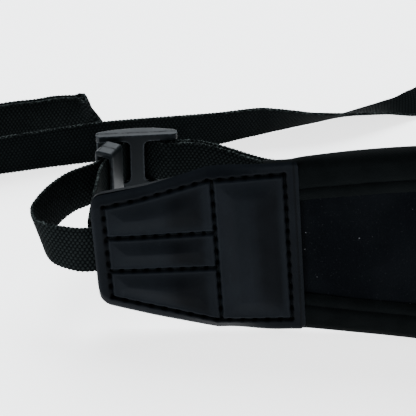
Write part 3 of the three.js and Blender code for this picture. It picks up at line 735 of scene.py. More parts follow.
@dataclass(frozen=True)
class StrapPlan:
    """Sizes of the padded band and its tabs, and the route that they share."""

    pad_height: float = 66
    pad_end_height: float = 56
    pad_widening: float = 78
    core_thickness: float = 4
    straight: float = 130
    radius: float = 80
    turn: float = 174
    lean: float = 8
    heading: float = -4.1
    binding_width: float = 11.8
    binding_half: float = 3.1
    binding_thickness: float = 0.8
    squeeze: float = 0.6
    squeeze_run: float = 16
    bow: float = 3.1
    # Share of the bow at shares of the way from the narrow end to the curve.
    bow_rows: Sequence[tuple[float, float]] = ((0, 0.32), (0.33, 1), (0.8, 0.26), (1, 0))
    settling: float = 46.8
    round_facet: float = 30
    tab_length: float = 61.3
    tab_narrow: float = 35.4
    tab_wide: float = 54.6
    tab_flare: float = 1.2
    tab_shoulder: float = 34.5
    tab_corner: float = 3.2
    tab_border: float = 3.6
    tab_leather: float = 1.2
    tab_centre: float = 26.6
    rim_opens: float = 36
    rim_open: float = 54
    pad_overlap: float = 13
    webbing_overlap: float = 12
    seat_ease: float = 4
    rim_closing: float = 2.5
    webbing_width: float = 15
    webbing_thickness: float = 1.3
    gap: float = 0.3
    step: float = 8

    @property
    def bend_start(self) -> float:
        """Distance at which the pad starts to curve."""
        return self.tab_length + self.straight

    @property
    def length(self) -> float:
        """Length from one narrow end to the other."""
        return 2 * self.tab_length + self.straight + math.radians(self.turn) * self.radius

    @property
    def centre_height(self) -> float:
        """Height of the pad's middle over the table."""
        straight = (self.pad_height / 2 - self.binding_half) * math.cos(math.radians(self.lean))
        return straight + self.binding_half * math.cos(math.radians(self.round_facet / 2))

    def plan(self, distance: float) -> tuple[float, float, float]:
        """Place on the table at a distance along the strap, and its heading there in radians.

        Args:
            distance: Distance from the near narrow end.

        Returns:
            x, y and the heading.
        """
        start = math.radians(self.heading)
        first = min(distance, self.bend_start)
        curve = math.radians(self.turn) * self.radius
        turned = min(max(distance - self.bend_start, 0), curve) / self.radius
        heading = start + turned
        last = max(distance - self.bend_start - curve, 0)
        x = math.cos(start) * first + math.cos(heading) * last
        y = math.sin(start) * first + math.sin(heading) * last
        x += self.radius * (math.sin(heading) - math.sin(start))
        y += self.radius * (math.cos(start) - math.cos(heading))
        return x, y, heading

    def from_end(self, distance: float) -> float:
        """Distance from the nearer narrow end."""
        return min(distance, self.length - distance)

    def height(self, distance: float) -> float:
        """Height of the pad at a distance along the strap."""
        share = clamp01((self.from_end(distance) - self.tab_length) / self.pad_widening)
        return mix(self.pad_end_height, self.pad_height, math.sin(share * math.pi / 2))

    def fullness(self, distance: float) -> float:
        """Share of its thickness that the pad keeps where the tabs' seams squeeze it."""
        return mix(self.squeeze, 1, ease((self.from_end(distance) - self.tab_length) / self.squeeze_run))

    def bowed(self, distance: float) -> float:
        """How far the strap bows into the loop at a distance along it.

        Args:
            distance: Distance from the near narrow end.

        Returns:
            The bow in millimetres.
        """
        share = self.from_end(distance) / self.bend_start
        for low, high in zip(self.bow_rows, self.bow_rows[1:]):
            if share < high[0]:
                return self.bow * mix(low[1], high[1], ease((share - low[0]) / (high[0] - low[0])))
        return 0.0

    def centre(self, distance: float) -> Vector:
        """The strap's middle at a distance along it.

        Args:
            distance: Distance from the near narrow end.

        Returns:
            The middle in the plan's own millimetres.
        """
        x, y, heading = self.plan(distance)
        x -= math.sin(heading) * self.bowed(distance)
        y += math.cos(heading) * self.bowed(distance)
        rise = ease(self.from_end(distance) / (self.tab_length + self.settling))
        return Vector((x, y, mix(self.tab_centre, self.centre_height, rise)))

    def station(self, distance: float) -> Station:
        """The strap's station at a distance along it, in its own plan."""
        travel = self.centre(distance + 0.5) - self.centre(distance - 0.5)
        return facing(travel, self.lean, self.centre(distance))

    def marks(self, first: float, last: float) -> list[float]:
        """Distances at which the solids of the pad have their sections.

        Args:
            first: The first distance.
            last: The last distance.

        Returns:
            All distances, with both ends.
        """
        marks = []
        mark = self.tab_length
        while mark < self.length - self.tab_length + self.step / 2:
            marks.append(mark)
            plain = self.tab_length + self.pad_widening < mark < self.bend_start - 2 * self.step
            mark += 2 * self.step if plain else self.step
        return [first, *[m for m in marks if first + 1 < m < last - 1], last]

    def shift(self) -> Vector:
        """How far the frame's origin lies from the plan's, read from the box of the pad's core.

        Returns:
            The offset in millimetres, which is added to places of the plan.
        """
        first = self.tab_length - self.pad_overlap
        low = Vector((1e9, 1e9, 1e9))
        for mark in self.marks(first, self.length - first):
            station = self.station(mark)
            half = self.core_thickness / 2 * self.fullness(mark)
            reach = self.height(mark) / 2 - self.binding_thickness - self.gap
            for side, width in ((half, reach - half), (half / 2, reach)):
                for turned in ((side, width), (-side, width), (side, -width), (-side, -width)):
                    point = station.at(*turned)
                    low = Vector(min(pair) for pair in zip(low, point))
        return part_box("pad_core")[0] / MM - low

    def tab_height(self, from_end: float) -> float:
        """Height of a tab at a distance from its narrow end, with that end's rounded corners.

        Args:
            from_end: The distance.

        Returns:
            The full height.
        """
        taper = self.tab_wide - self.tab_flare
        if from_end < self.tab_shoulder:
            height = mix(self.tab_narrow, taper, from_end / self.tab_shoulder)
        else:
            share = (from_end - self.tab_shoulder) / (self.tab_length - self.tab_shoulder)
            height = mix(taper, self.tab_wide, share)
        inset = clamp01(1 - from_end / self.tab_corner)
        return height - 2 * self.tab_corner * (1 - math.sqrt(1 - inset * inset))

    def tab_seat(self, from_end: float, height: float) -> float:
        """Half the hollow between a tab's two sheets.

        Args:
            from_end: Distance from the tab's narrow end.
            height: Height from the tab's middle.

        Returns:
            Distance from the strap's middle to either sheet.
        """
        webbing = self.webbing_thickness / 2 + self.gap
        pad = self.core_thickness / 2 * self.squeeze + self.binding_thickness + 2 * self.gap
        webbing_end = self.webbing_overlap + self.seat_ease
        pad_start = self.tab_length - self.pad_overlap - self.seat_ease / 2
        middle = mix(webbing, pad, ease((from_end - webbing_end) / (pad_start - webbing_end)))
        rim = mix(self.gap / 2, pad, ease((from_end - self.rim_opens) / (self.rim_open - self.rim_opens)))
        clear_webbing = (abs(height) - self.webbing_width / 2 - self.gap) / self.rim_closing
        clear_rim = (self.tab_height(from_end) / 2 - abs(height)) / self.tab_border
        return mix(middle, rim, clamp01(clear_webbing) * ease(1 - clamp01(clear_rim)))


class Route:
    """The strap's plan set in the frame, in metres."""

    def __init__(self, plan: StrapPlan) -> None:
        """Reads where the plan lies in the frame.

        Args:
            plan: The strap's plan.
        """
        self.plan = plan
        self.origin = plan.shift()
        log.info("plan origin %s mm", tuple(round(v, 3) for v in self.origin))

    def station(self, distance: float) -> Station:
        """The station at a distance in millimetres, in metres of the frame."""
        bare = self.plan.station(distance)
        return Station((bare.point + self.origin) * MM, bare.along, bare.width, bare.side)

    def local(self, point: Sequence[float]) -> Vector:
        """A point of the plan in millimetres, in metres of the frame."""
        return (Vector(point) + self.origin) * MM


# The padded band


@dataclass
class PaddedBand:
    """Foam core with a jersey face, and the two edge tapes."""

    route: Route
    across: int = 44
    along_step: float = 2.0
    crown: float = 0.9
    core_wall: float = 4.4
    tape_wall: float = 0.7
    core_inset: float = 5.0
    tape_inset: float = 3.0
    core_clearance: float = 2.2
    tuck: float = 1.1
    trim: float = 0.5
    tuck_run: float = 4.0
    ripple: float = 0.35
    pucker: float = 0.16
    groove_place: float = 8.35
    groove_half: float = 0.42
    flat_columns: int = 12
    fold_columns: int = 13
    # Lift of the tape's outer face at distances in from the pad's edge, both in millimetres.
    tape_lift: Sequence[tuple[float, float]] = (
        (0.0, 0.0), (3.1, 0.0), (5.2, 0.25), (7.2, 0.15), (7.9, -0.35), (8.35, -0.5), (8.8, -0.3),
        (9.3, 0.0), (10.6, 0.0), (11.2, -0.25), (11.8, -0.75),
    )

    def distances(self, first: float, last: float) -> list[float]:
        """Even marks between two distances along the strap."""
        count = round((last - first) / self.along_step)
        return [mix(first, last, i / count) for i in range(count + 1)]

    def core(self) -> bpy.types.Object:
        """Builds the core's jersey-faced foam as one closed, slightly crowned slab.

        Returns:
            The new piece.
        """
        plan = self.route.plan
        first = plan.tab_length - plan.pad_overlap + self.core_inset
        marks = self.distances(first, plan.length - first)
        points = np.zeros((len(marks), self.across + 1, 3))
        cloth = np.zeros((len(marks), self.across + 1, 2))
        walls = np.zeros((len(marks), self.across + 1))
        for i, mark in enumerate(marks):
            station = self.route.station(mark)
            reach = plan.height(mark) / 2 - self.tucked(mark) - self.core_clearance
            walls[i] = self.core_wall * plan.fullness(mark) * MM
            for k in range(self.across + 1):
                share = 1 - 2 * k / self.across
                ripple = noise.noise(Vector((mark * 0.045, share * 1.6, 2.0))) * self.ripple
                bulge = (self.crown + ripple) * (1 - share * share) ** 0.6
                half = (plan.core_thickness / 2 + bulge) * plan.fullness(mark)
                points[i, k] = station.at(half * MM, share * reach * MM)
                cloth[i, k] = (share * reach * MM, mark * MM)
        piece = laid_sheet("pad_panel", points, cloth)
        thicken(piece, walls, -1)
        return piece

    def tucked(self, distance: float) -> float:
        """How much the band's upper edge draws in, mostly between the tabs' sheets.

        Args:
            distance: Distance along the strap.

        Returns:
            The draw in millimetres.
        """
        plan = self.route.plan
        out = ease((plan.from_end(distance) - plan.tab_length + self.tape_inset) / self.tuck_run)
        return mix(self.tuck, self.trim, out)

    def lift(self, inset: float) -> float:
        """Lift of the tape's outer face at a distance in from the pad's edge."""
        insets, lifts = zip(*self.tape_lift)
        return float(np.interp(inset, insets, lifts))

    def profile(self) -> list[tuple[float, float, float]]:
        """The tape's section from its outer face round the fold to its inner one.

        Returns:
            Distance to the side, distance in from the pad's edge and, on the flat faces, that one again.
        """
        plan = self.route.plan
        half = plan.binding_half
        beside_groove = [self.groove_place + offset for offset in (-0.75, -0.25, 0.0, 0.25, 0.65)]
        even = np.linspace(half, plan.binding_width, self.flat_columns)
        flat = np.unique(np.concatenate([even, beside_groove]))
        arc = np.radians(np.linspace(90, -90, self.fold_columns + 2))[1:-1]
        outer = [(half, inset, inset) for inset in flat[::-1]]
        fold = [(half * math.sin(a), half - half * math.cos(a), 0.0) for a in arc]
        inner = [(-half, inset, inset) for inset in flat]
        return outer + fold + inner

    def tape(self, upper: bool) -> bpy.types.Object:
        """Builds one edge tape folded over the pad's edge, with its sewn groove.

        Args:
            upper: Whether it is the upper tape.

        Returns:
            The new piece.
        """
        plan = self.route.plan
        end = 1 if upper else -1
        first = plan.tab_length - plan.pad_overlap + self.tape_inset
        marks = self.distances(first, plan.length - first)
        half = plan.binding_half
        profile = self.profile()
        length = np.cumsum([0.0] + [math.dist(a[:2], b[:2]) for a, b in zip(profile, profile[1:])])
        if not upper:
            profile = profile[::-1]
        points = np.zeros((len(marks), len(profile), 3))
        cloth = np.zeros((len(marks), len(profile), 2))
        groove = np.zeros((len(marks), len(profile)))
        for i, mark in enumerate(marks):
            station = self.route.station(mark)
            reach = plan.height(mark) / 2 - (self.tucked(mark) if upper else 0)
            thin = 1 - (1 - plan.fullness(mark)) * plan.core_thickness / 2 / half
            for k, (side, inset, sewn) in enumerate(profile):
                lift = self.lift(sewn) if sewn else 0.0
                pucker = noise.noise(Vector((mark * 0.35, inset * 0.3, end * 4.0))) * self.pucker
                push = (lift + pucker) * (1 if side > 0 else -1) if sewn else pucker * 0.4
                points[i, k] = station.at((side * thin + push) * MM, end * (reach - inset) * MM)
                cloth[i, k] = (length[k] * MM, mark * MM)
                # Where painted shade darkens the sewn groove on the tape's outer face.
                if sewn and side > 0:
                    groove[i, k] = math.exp(-((inset - self.groove_place) / self.groove_half) ** 2)
        piece = laid_sheet("pad_tape_upper" if upper else "pad_tape_lower", points, cloth)
        store(piece, "groove", groove)
        thicken(piece, self.tape_wall * MM, -1)
        return piece

    def build(self, jersey: bpy.types.Material, tape: bpy.types.Material) -> None:
        """Builds and dresses the core and both tapes.

        Args:
            jersey: The core's finish.
            tape: The tapes' finish.
        """
        core = self.core()
        smooth(core, 50)
        dress(core, jersey, "neoprene", "pad_core")
        for upper, node in ((True, "pad_binding_upper"), (False, "pad_binding_lower")):
            piece = self.tape(upper)
            smooth(piece, 60)
            dress(piece, tape, "binding", node)


# The tabs


@dataclass(frozen=True)
class Seam:
    """A straight sewn seam between two places on a tab, in distance from its narrow end and height."""

    start: tuple[float, float]
    end: tuple[float, float]
    pitch: float = 3.75

    def gap(self, from_end: float, height: float) -> tuple[float, float]:
        """How far a place lies from the seam.

        Args:
            from_end: The place's distance from the tab's narrow end.
            height: Its height from the tab's middle.

        Returns:
            Its distance from the seam, and from there along the seam to the nearest needle hole.
        """
        run = (self.end[0] - self.start[0], self.end[1] - self.start[1])
        offset = (from_end - self.start[0], height - self.start[1])
        along = clamp01((offset[0] * run[0] + offset[1] * run[1]) / self.length**2)
        foot = (self.start[0] + run[0] * along, self.start[1] + run[1] * along)
        holes = along * self.stitches
        to_hole = abs(holes - round(holes)) * self.length / self.stitches
        return math.hypot(from_end - foot[0], height - foot[1]), to_hole

    @property
    def length(self) -> float:
        """The seam's length in millimetres."""
        return math.dist(self.start, self.end)

    @property
    def stitches(self) -> int:
        """How many whole stitches the seam has."""
        return max(1, round(self.length / self.pitch))


@dataclass
class Tab:
    """Two leatherette sheets sewn round the webbing and the pad's end, the outer one with puffed panels."""

    route: Route
    end: End
    rows: int = 210
    columns: int = 176
    left_share: float = 0.062
    middle_share: float = 0.585
    right_share: float = 0.935
    # Heights of the splits between the small panels, at both ends, in shares of half the tab's height.
    upper_shares: tuple[float, float] = (0.26, 0.235)
    lower_shares: tuple[float, float] = (-0.33, -0.20)
    border_rise: float = 0.5
    border_wave: float = 0.14
    edge_round: float = 1.1
    edge_fall: float = 0.55
    small_puff: float = 1.7
    large_puff: float = 2.3
    puff_run: float = 7.0
    step_height: float = 0.5
    groove_depth: float = 0.42
    groove_half: float = 0.5
    hole_depth: float = 0.8
    hole_length: float = 0.75
    lip_place: float = 1.0
    lip_half: float = 0.34
    lip_rise: float = 0.13
    stitch_share: float = 0.72
    stitch_half: float = 0.17
    wide_corner: float = 1.8
    slant: float = 0.075
    slant_foot: float = 11.0
    slant_run: float = 18.0
    wide_lift: float = 1.3
    inner_share: float = 0.92
    step_width: float = 1.3
    # Fullness of a panel at shares of its length: a broad ridge and a fall to the right.
    ridge_rows: Sequence[tuple[float, float]] = (
        (0.0, 0.40), (0.10, 0.62), (0.30, 0.90), (0.48, 1.0),
        (0.60, 0.93), (0.84, 0.32), (0.92, 0.40), (1.0, 0.36),
    )
    sheet_wall: float = 1.0
    rim_wall: float = 2.4
    rim_width: float = 1.6
    rim_gap: float = 0.05
    seams: list[Seam] = field(default_factory=list)

    def __post_init__(self) -> None:
        """Lays the seams out from the tab's outline."""
        left, middle, right = self.uprights
        shoulder = self.route.plan.tab_shoulder
        for sign in (1, -1):
            corners = [(place, sign * self.panel_top(place)) for place in (left, shoulder, right)]
            self.seams += [Seam(corners[0], corners[1]), Seam(corners[1], corners[2])]
        for place in self.uprights:
            self.seams.append(Seam((place, -self.panel_top(place)), (place, self.panel_top(place))))
        for split in (self.split(self.upper_shares), self.split(self.lower_shares)):
            self.seams.append(Seam((left, split[0]), (middle, split[1])))

    @property
    def uprights(self) -> tuple[float, float, float]:
        """Distances of the three upright seams from the narrow end."""
        length = self.route.plan.tab_length
        return length * self.left_share, length * self.middle_share, length * self.right_share

    def panel_top(self, from_end: float) -> float:
        """Height of the border's inner side."""
        return self.route.plan.tab_height(from_end) / 2 - self.route.plan.tab_border

    def split(self, shares: tuple[float, float]) -> tuple[float, float]:
        """Heights of a split between small panels at its left and right ends.

        Args:
            shares: Heights at both ends in shares of half the tab's height.

        Returns:
            The two heights in millimetres.
        """
        left, middle, _ = self.uprights
        plan = self.route.plan
        return shares[0] * plan.tab_height(left) / 2, shares[1] * plan.tab_height(middle) / 2

    def panel(self, from_end: float, height: float) -> tuple[float, float, float]:
        """Where a place lies in its panel.

        Args:
            from_end: Distance from the tab's narrow end.
            height: Height from the tab's middle.

        Returns:
            The place's shares of the panel's length and height, and the panel's puff.
        """
        left, middle, right = self.uprights
        top = self.panel_top(from_end)
        if from_end > middle:
            return (from_end - middle) / (right - middle), (height + top) / (2 * top), self.large_puff
        share = (from_end - left) / (middle - left)
        upper = mix(*self.split(self.upper_shares), share)
        lower = mix(*self.split(self.lower_shares), share)
        edges = [-top, lower, upper, top]
        low = max([e for e in edges[:3] if e <= height], default=-top)
        high = edges[edges.index(low) + 1]
        return share, (height - low) / (high - low), self.small_puff

    def puffed(self, from_end: float, height: float, near: float, uneven: float) -> tuple[float, float]:
        """The shape of a padded panel, and its painted light.

        Args:
            from_end: Distance from the tab's narrow end.
            height: Height from the tab's middle.
            near: Distance to the nearest seam.
            uneven: Small noise that mottles the tone.

        Returns:
            The panel's rise over its leather, and its painted tone from 0 to 1: paler on the lip as a painted
            highlight, darker on the falling slope and towards the panel's top as painted shade.
        """
        lengthwise, crosswise, puff = self.panel(from_end, height)
        shares, fullness = zip(*self.ridge_rows)
        dome = math.sin(math.pi * clamp01(crosswise)) ** 0.6
        lip = math.exp(-(((near - self.lip_place) / self.lip_half) ** 2))
        ridge = float(np.interp(lengthwise, shares, fullness)) * dome * ease(near / self.puff_run)
        body = puff * (0.24 * math.sin(clamp01(near / 1.3) * math.pi / 2) + 0.76 * ridge)
        # Painted light: the lip is paler as a painted highlight; the falling slope and the panel's upper part
        # are darker as painted shade.
        falling = ease((lengthwise - 0.46) / 0.22) * (1 - ease((lengthwise - 0.85) / 0.08))
        falling *= ease((min(crosswise, 1 - crosswise) + 0.25 * (lengthwise - 0.8)) / 0.22)
        tone = 0.2 * lip + (0.66 + 0.1 * uneven) * (1 - falling) * (1 - 0.3 * crosswise)
        return body + self.lip_rise * lip, clamp01(tone)

    def rise(self, from_end: float, height: float) -> tuple[float, float, float]:
        """The shape of the outer sheet at a place.

        Args:
            from_end: Distance from the tab's narrow end.
            height: Height from the tab's middle.

        Returns:
            The sheet's rise over its leather, its painted tone of highlights and shade, and how dark it is
            painted in its needle holes, its seam grooves and at the border's step, from 0 to 1.
        """
        plan = self.route.plan
        near, along = min(seam.gap(from_end, height) for seam in self.seams)
        half = self.half(from_end)
        uneven = noise.noise(Vector((from_end * 0.9, height * 0.9, 3.0)))
        groove = math.exp(-((near / self.groove_half) ** 2))
        hole = groove * math.exp(-((along / (self.hole_length * (1 + uneven * 0.7))) ** 2))
        sunk = groove * self.groove_depth + hole * self.hole_depth
        # Painted shade: the needle holes and the seam's groove are darkened.
        dark = clamp01(hole * 1.3 + groove * (0.4 + uneven * 0.4))
        left, _, right = self.uprights
        if left < from_end < right and abs(height) < half - plan.tab_border:
            body, pale = self.puffed(from_end, height, near, uneven)
            return body - sunk, pale, dark
        edge = min(from_end, plan.tab_length - from_end, half - abs(height))
        round_off = self.edge_fall * (1 - clamp01(edge / self.edge_round)) ** 2
        past_step = from_end - plan.tab_length + self.step_width
        step = self.step_height * ease(past_step / 0.3)
        # A painted shadow line along the border's step.
        line = math.exp(-((past_step / 0.25) ** 2))
        wave = noise.noise(Vector((from_end * 0.11, height * 0.13, 7.0))) * self.border_wave
        # Painted light on the border: paler towards its rounded edges as a painted highlight, darker in the
        # seam's groove as painted shade.
        pale = clamp01(0.34 + 0.4 * (1 - clamp01(edge / 2.0)) - groove)
        return self.border_rise + wave - round_off - step - sunk, pale, max(dark, line * 0.7)

    def half(self, from_end: float) -> float:
        """Half the tab's height, with the wide end's rounded corners.

        Args:
            from_end: Distance from the tab's narrow end.

        Returns:
            Half the height.
        """
        plan = self.route.plan
        inset = clamp01(1 - (plan.tab_length - from_end) / self.wide_corner)
        return plan.tab_height(from_end) / 2 - self.wide_corner * (1 - math.sqrt(1 - inset * inset))

    def distance(self, from_end: float) -> float:
        """Distance along the strap for one from this tab's narrow end."""
        return from_end if self.end is End.NEAR else self.route.plan.length - from_end

    def surface(self, from_end: float, height: float, outward: int, rise: float) -> Vector:
        """A point of one sheet's outside.

        Args:
            from_end: Distance from the tab's narrow end.
            height: Height from the tab's middle.
            outward: 1 on the outer sheet, -1 on the inner one.
            rise: Rise over the sheet's leather.

        Returns:
            The point in metres of the frame.
        """
        plan = self.route.plan
        slanted = from_end - self.slant * (height + self.slant_foot) * (1 - ease(from_end / self.slant_run))
        station = self.route.station(self.distance(slanted))
        depth = plan.tab_seat(from_end, height) + plan.tab_leather + rise
        wide = ease(from_end / plan.tab_length)
        if outward > 0:
            height += self.wide_lift * wide * (0.5 + height / plan.tab_height(from_end))
        else:
            height *= mix(1, self.inner_share, wide)
        return station.at(outward * depth * MM, height * MM)

    def sheet(self, outward: int) -> bpy.types.Object:
        """Builds one sheet, the outer (1) or the inner one (-1).

        Args:
            outward: 1 for the outer sheet, -1 for the inner one.

        Returns:
            The new piece.
        """
        plan = self.route.plan
        fine = outward > 0
        rows = self.rows if fine else self.rows // 3
        columns = self.columns if fine else self.columns // 3
        points = np.zeros((rows + 1, columns + 1, 3))
        cloth = np.zeros((rows + 1, columns + 1, 2))
        rim, hole, walls = (np.zeros((rows + 1, columns + 1)) for _ in range(3))
        flip = (outward > 0) != (self.end is End.NEAR)
        for i in range(rows + 1):
            from_end = plan.tab_length * (i / rows)
            half = self.half(from_end)
            for k in range(columns + 1):
                share = 2 * k / columns - 1
                height = half * (share if flip else -share)
                rise, rim[i, k], hole[i, k] = self.rise(from_end, height) if fine else (0.0, 0.3, 0.0)
                points[i, k] = self.surface(from_end, height, outward, rise)
                cloth[i, k] = (height * MM, from_end * MM)
                edge = min(from_end, half - abs(height))
                closed = plan.tab_seat(from_end, height) + plan.tab_leather + rise - self.rim_gap
                rim_wall = min(closed, self.rim_wall)
                walls[i, k] = mix(rim_wall, self.sheet_wall, ease(edge / self.rim_width)) * MM
        piece = laid_sheet(f"tab_{self.end.value}_{'outer' if fine else 'inner'}", points, cloth)
        # The rim attribute holds the painted highlights and painted shade, and the hole attribute the painted
        # shade of holes, grooves and the border's step.
        store(piece, "rim", rim)
        store(piece, "hole", hole)
        thicken(piece, walls, -1)
        return piece

    def stitches(self, material: bpy.types.Material) -> None:
        """Sews the seams with one copied stitch.

        Args:
            material: The thread's finish.
        """
        start_alone()
        bpy.ops.mesh.primitive_uv_sphere_add(segments=8, ring_count=6, radius=1)
        stitch = bpy.context.object
        places = []
        for seam in self.seams:
            for i in range(seam.stitches):
                middle = (i + 0.5) / seam.stitches
                reach = self.stitch_share / seam.stitches / 2
                ends = []
                for share in (middle - reach, middle + reach):
                    from_end = mix(seam.start[0], seam.end[0], share)
                    height = mix(seam.start[1], seam.end[1], share)
                    ends.append(self.surface(from_end, height, 1, -self.groove_depth * 0.8))
                run = ends[1] - ends[0]
                turn = Vector((1, 0, 0)).rotation_difference(run).to_matrix().to_4x4()
                size = Matrix.Diagonal((run.length / 2, self.stitch_half * MM, self.stitch_half * MM, 1))
                places.append(Matrix.Translation((ends[0] + ends[1]) / 2) @ turn @ size)
        piece = copies(f"stitches_{self.end.value}", stitch, places)
        smooth(piece, 80)
        dress(piece, material, "leatherette")

    def build(self, leather: bpy.types.Material, thread: bpy.types.Material) -> None:
        """Builds and dresses both sheets and the stitches.

        Args:
            leather: The sheets' finish.
            thread: The stitches' finish.
        """
        for outward, node in ((1, "face"), (-1, "back")):
            piece = self.sheet(outward)
            smooth(piece, 55)
            slot = "leatherette" if outward > 0 else "leatherette_lining"
            dress(piece, leather, slot, f"tab_{self.end.value}_{node}")
        self.stitches(thread)


# The webbing


FIBRE_SEEDS = {End.NEAR: 11, End.FAR: 23}


@dataclass
class WebbingStrap:
    """One strap of webbing, laid on the sections of its CAD solid."""

    route: Route
    end: End
    columns: int = 14
    row_step: float = 0.675
    edge_share: float = 0.62
    scallop: float = 0.26
    fray: float = 0.14
    rib: float = 0.09
    fibres_per_mm: float = 1.1
    fibre_radius: float = 0.035
    fibre_root: float = 0.12
    fibre_shortest: float = 0.35
    fibre_longest: float = 0.95
    tip_slant: float = 2.7
    tip_reach: float = 24.0
    tip_bow: float = 1.7
    tip_bow_place: float = 13.0
    tip_bow_half: float = 8.0
    tip_bow_below: float = 0.3

    @property
    def half_width(self) -> float:
        """Half the webbing's width."""
        return self.route.plan.webbing_width / 2

    def start(self) -> Station:
        """The station of the strap's hidden end inside its tab.

        Returns:
            The station, in metres of the frame.
        """
        plan = self.route.plan
        if self.end is End.FAR:
            return self.route.station(plan.length - plan.webbing_overlap)
        return self.route.station(plan.webbing_overlap)

    def sections(self) -> list[tuple[Vector, Vector]]:
        """Reads the solid's sections of four corners each, in order from the tab.

        Returns:
            The middle and the width direction of each section.
        """
        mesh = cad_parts[f"webbing_{self.end.value}"].data
        order: dict[tuple[int, ...], int] = {}
        merged = [order.setdefault(tuple(round(c * 1e7) for c in v.co), len(order)) for v in mesh.vertices]
        places = [Vector(key) * 1e-7 for key in order]
        links: list[set[int]] = [set() for _ in places]
        for face in mesh.polygons:
            corners = [merged[i] for i in face.vertices]
            for a in corners:
                links[a].update(b for b in corners if b != a)
        middle = self.start().point
        level = sorted(range(len(places)), key=lambda i: (places[i] - middle).length)[:4]
        seen = set(level)
        found: list[tuple[Vector, Vector]] = []
        last_width = self.start().width
        while level:
            corners = [places[i] for i in level]
            first = corners[0]
            mate = min(corners[1:], key=lambda c: (c - first).length)
            others = [c for c in corners[1:] if c is not mate]
            width = (sum(others, Vector()) / len(others) - (first + mate) / 2).normalized()
            width = width if width.dot(last_width) > 0 else -width
            found.append((sum(corners, Vector()) / len(corners), width))
            last_width = width
            level = [i for i in {j for a in level for j in links[a]} if i not in seen]
            seen.update(level)
        return found

    def stations(self) -> tuple[list[Station], list[float]]:
        """Lays even stations on one smooth curve through the sections.

        Returns:
            The stations, and the distance of each along the strap in metres.
        """
        found = self.sections()
        middles = np.array([m for m, _ in found])
        widths = np.array([w for _, w in found])
        steps = np.linalg.norm(np.diff(middles, axis=0), axis=1)
        reach = np.concatenate([[0], np.cumsum(steps)])
        slopes = np.gradient(middles, reach, axis=0)
        width_slopes = np.gradient(widths, reach, axis=0)
        count = round(reach[-1] / (self.row_step * MM))
        marks = np.linspace(0, reach[-1], count + 1)
        index = np.clip(np.searchsorted(reach, marks, side="right") - 1, 0, len(steps) - 1)
        span = steps[index][:, None]
        t = ((marks - reach[index]) / steps[index])[:, None]
        h = (2 * t**3 - 3 * t**2 + 1, t**3 - 2 * t**2 + t, -2 * t**3 + 3 * t**2, t**3 - t**2)

        def curve(values: np.ndarray, slope: np.ndarray) -> np.ndarray:
            """Cubic between the sections."""
            ends = values[index], slope[index] * span, values[index + 1], slope[index + 1] * span
            return sum(weight * value for weight, value in zip(h, ends))

        places = curve(middles, slopes)
        turns = curve(widths, width_slopes)
        along = np.gradient(places, axis=0)
        stations = []
        for place, run, turn in zip(places, along, turns):
            direction = Vector(run).normalized()
            width = Vector(turn)
            width = (width - direction * width.dot(direction)).normalized()
            stations.append(Station(Vector(place), direction, width, direction.cross(width)))
        return stations, list(marks)

    def pressed(self, stations: list[Station], marks: list[float]) -> list[tuple[Vector, Vector]]:
        """How the far loop's flat tip slants and bows.

        Args:
            stations: The strap's stations.
            marks: The distance of each along the strap, in metres.

        Returns:
            The shifts of the lower and the upper selvedge at each station, in metres.
        """
        if self.end is End.NEAR:
            return [(Vector(), Vector())] * len(stations)
        shifts = []
        beside = 4
        before = 10
        later_half = range(len(stations) // 2, len(stations) - beside - 1)
        turns = {i: stations[i - beside].along.dot(stations[i + beside].along) for i in later_half}
        fold = min(turns, key=lambda i: turns[i])
        tip = stations[fold - before].along
        for mark in marks:
            away = abs(mark - marks[fold]) / MM
            slant = self.tip_slant * (1 - ease(away / self.tip_reach))
            bow = self.tip_bow * math.exp(-(((away - self.tip_bow_place) / self.tip_bow_half) ** 2))
            lift = Vector((0, 0, bow * MM))
            shifts.append((tip * slant * MM + lift * self.tip_bow_below, lift))
        return shifts

    def shifted(self, station: Station, share: float, shifts: tuple[Vector, Vector]) -> Vector:
        """The shift at a share of the width from -1 to 1, between those of both selvedges.

        Args:
            station: The station.
            share: Place across the width.
            shifts: Shifts of the lower and the upper selvedge.

        Returns:
            The shift in metres.
        """
        down = (1 - share * math.copysign(1, station.width.z)) / 2
        lower = down * (2 - down)
        return shifts[0] * lower + shifts[1] * (1 - lower)

    def band(self, stations: list[Station], marks: list[float]) -> bpy.types.Object:
        """Builds the ribbed band with its scalloped selvedges.

        Args:
            stations: The strap's stations.
            marks: The distance of each along the strap, in metres.

        Returns:
            The new piece.
        """
        points = np.zeros((len(stations), self.columns + 1, 3))
        cloth = np.zeros((len(stations), self.columns + 1, 2))
        shifts = self.pressed(stations, marks)
        for i, (station, mark) in enumerate(zip(stations, marks)):
            for k in range(self.columns + 1):
                share = 2 * k / self.columns - 1
                reach = self.half_width
                rib = self.rib * (0.5 if (i + k) % 2 else -0.5)
                if k in (0, self.columns):
                    fray = noise.noise(Vector((mark * 900, share * 3, 1.0))) * self.fray
                    reach += fray - (0 if i % 2 else self.scallop)
                    rib = 0.0
                point = station.at(rib * MM, share * reach * MM)
                points[i, k] = point + self.shifted(station, share, shifts[i])
                cloth[i, k] = ((share + 1) * self.half_width * MM, mark)
        piece = laid_sheet(f"strap_{self.end.value}", points, cloth)
        wall = self.route.plan.webbing_thickness - self.rib
        walls = np.full((len(stations), self.columns + 1), wall * MM)
        walls[:, [0, -1]] *= self.edge_share
        thicken(piece, walls, 0)
        return piece

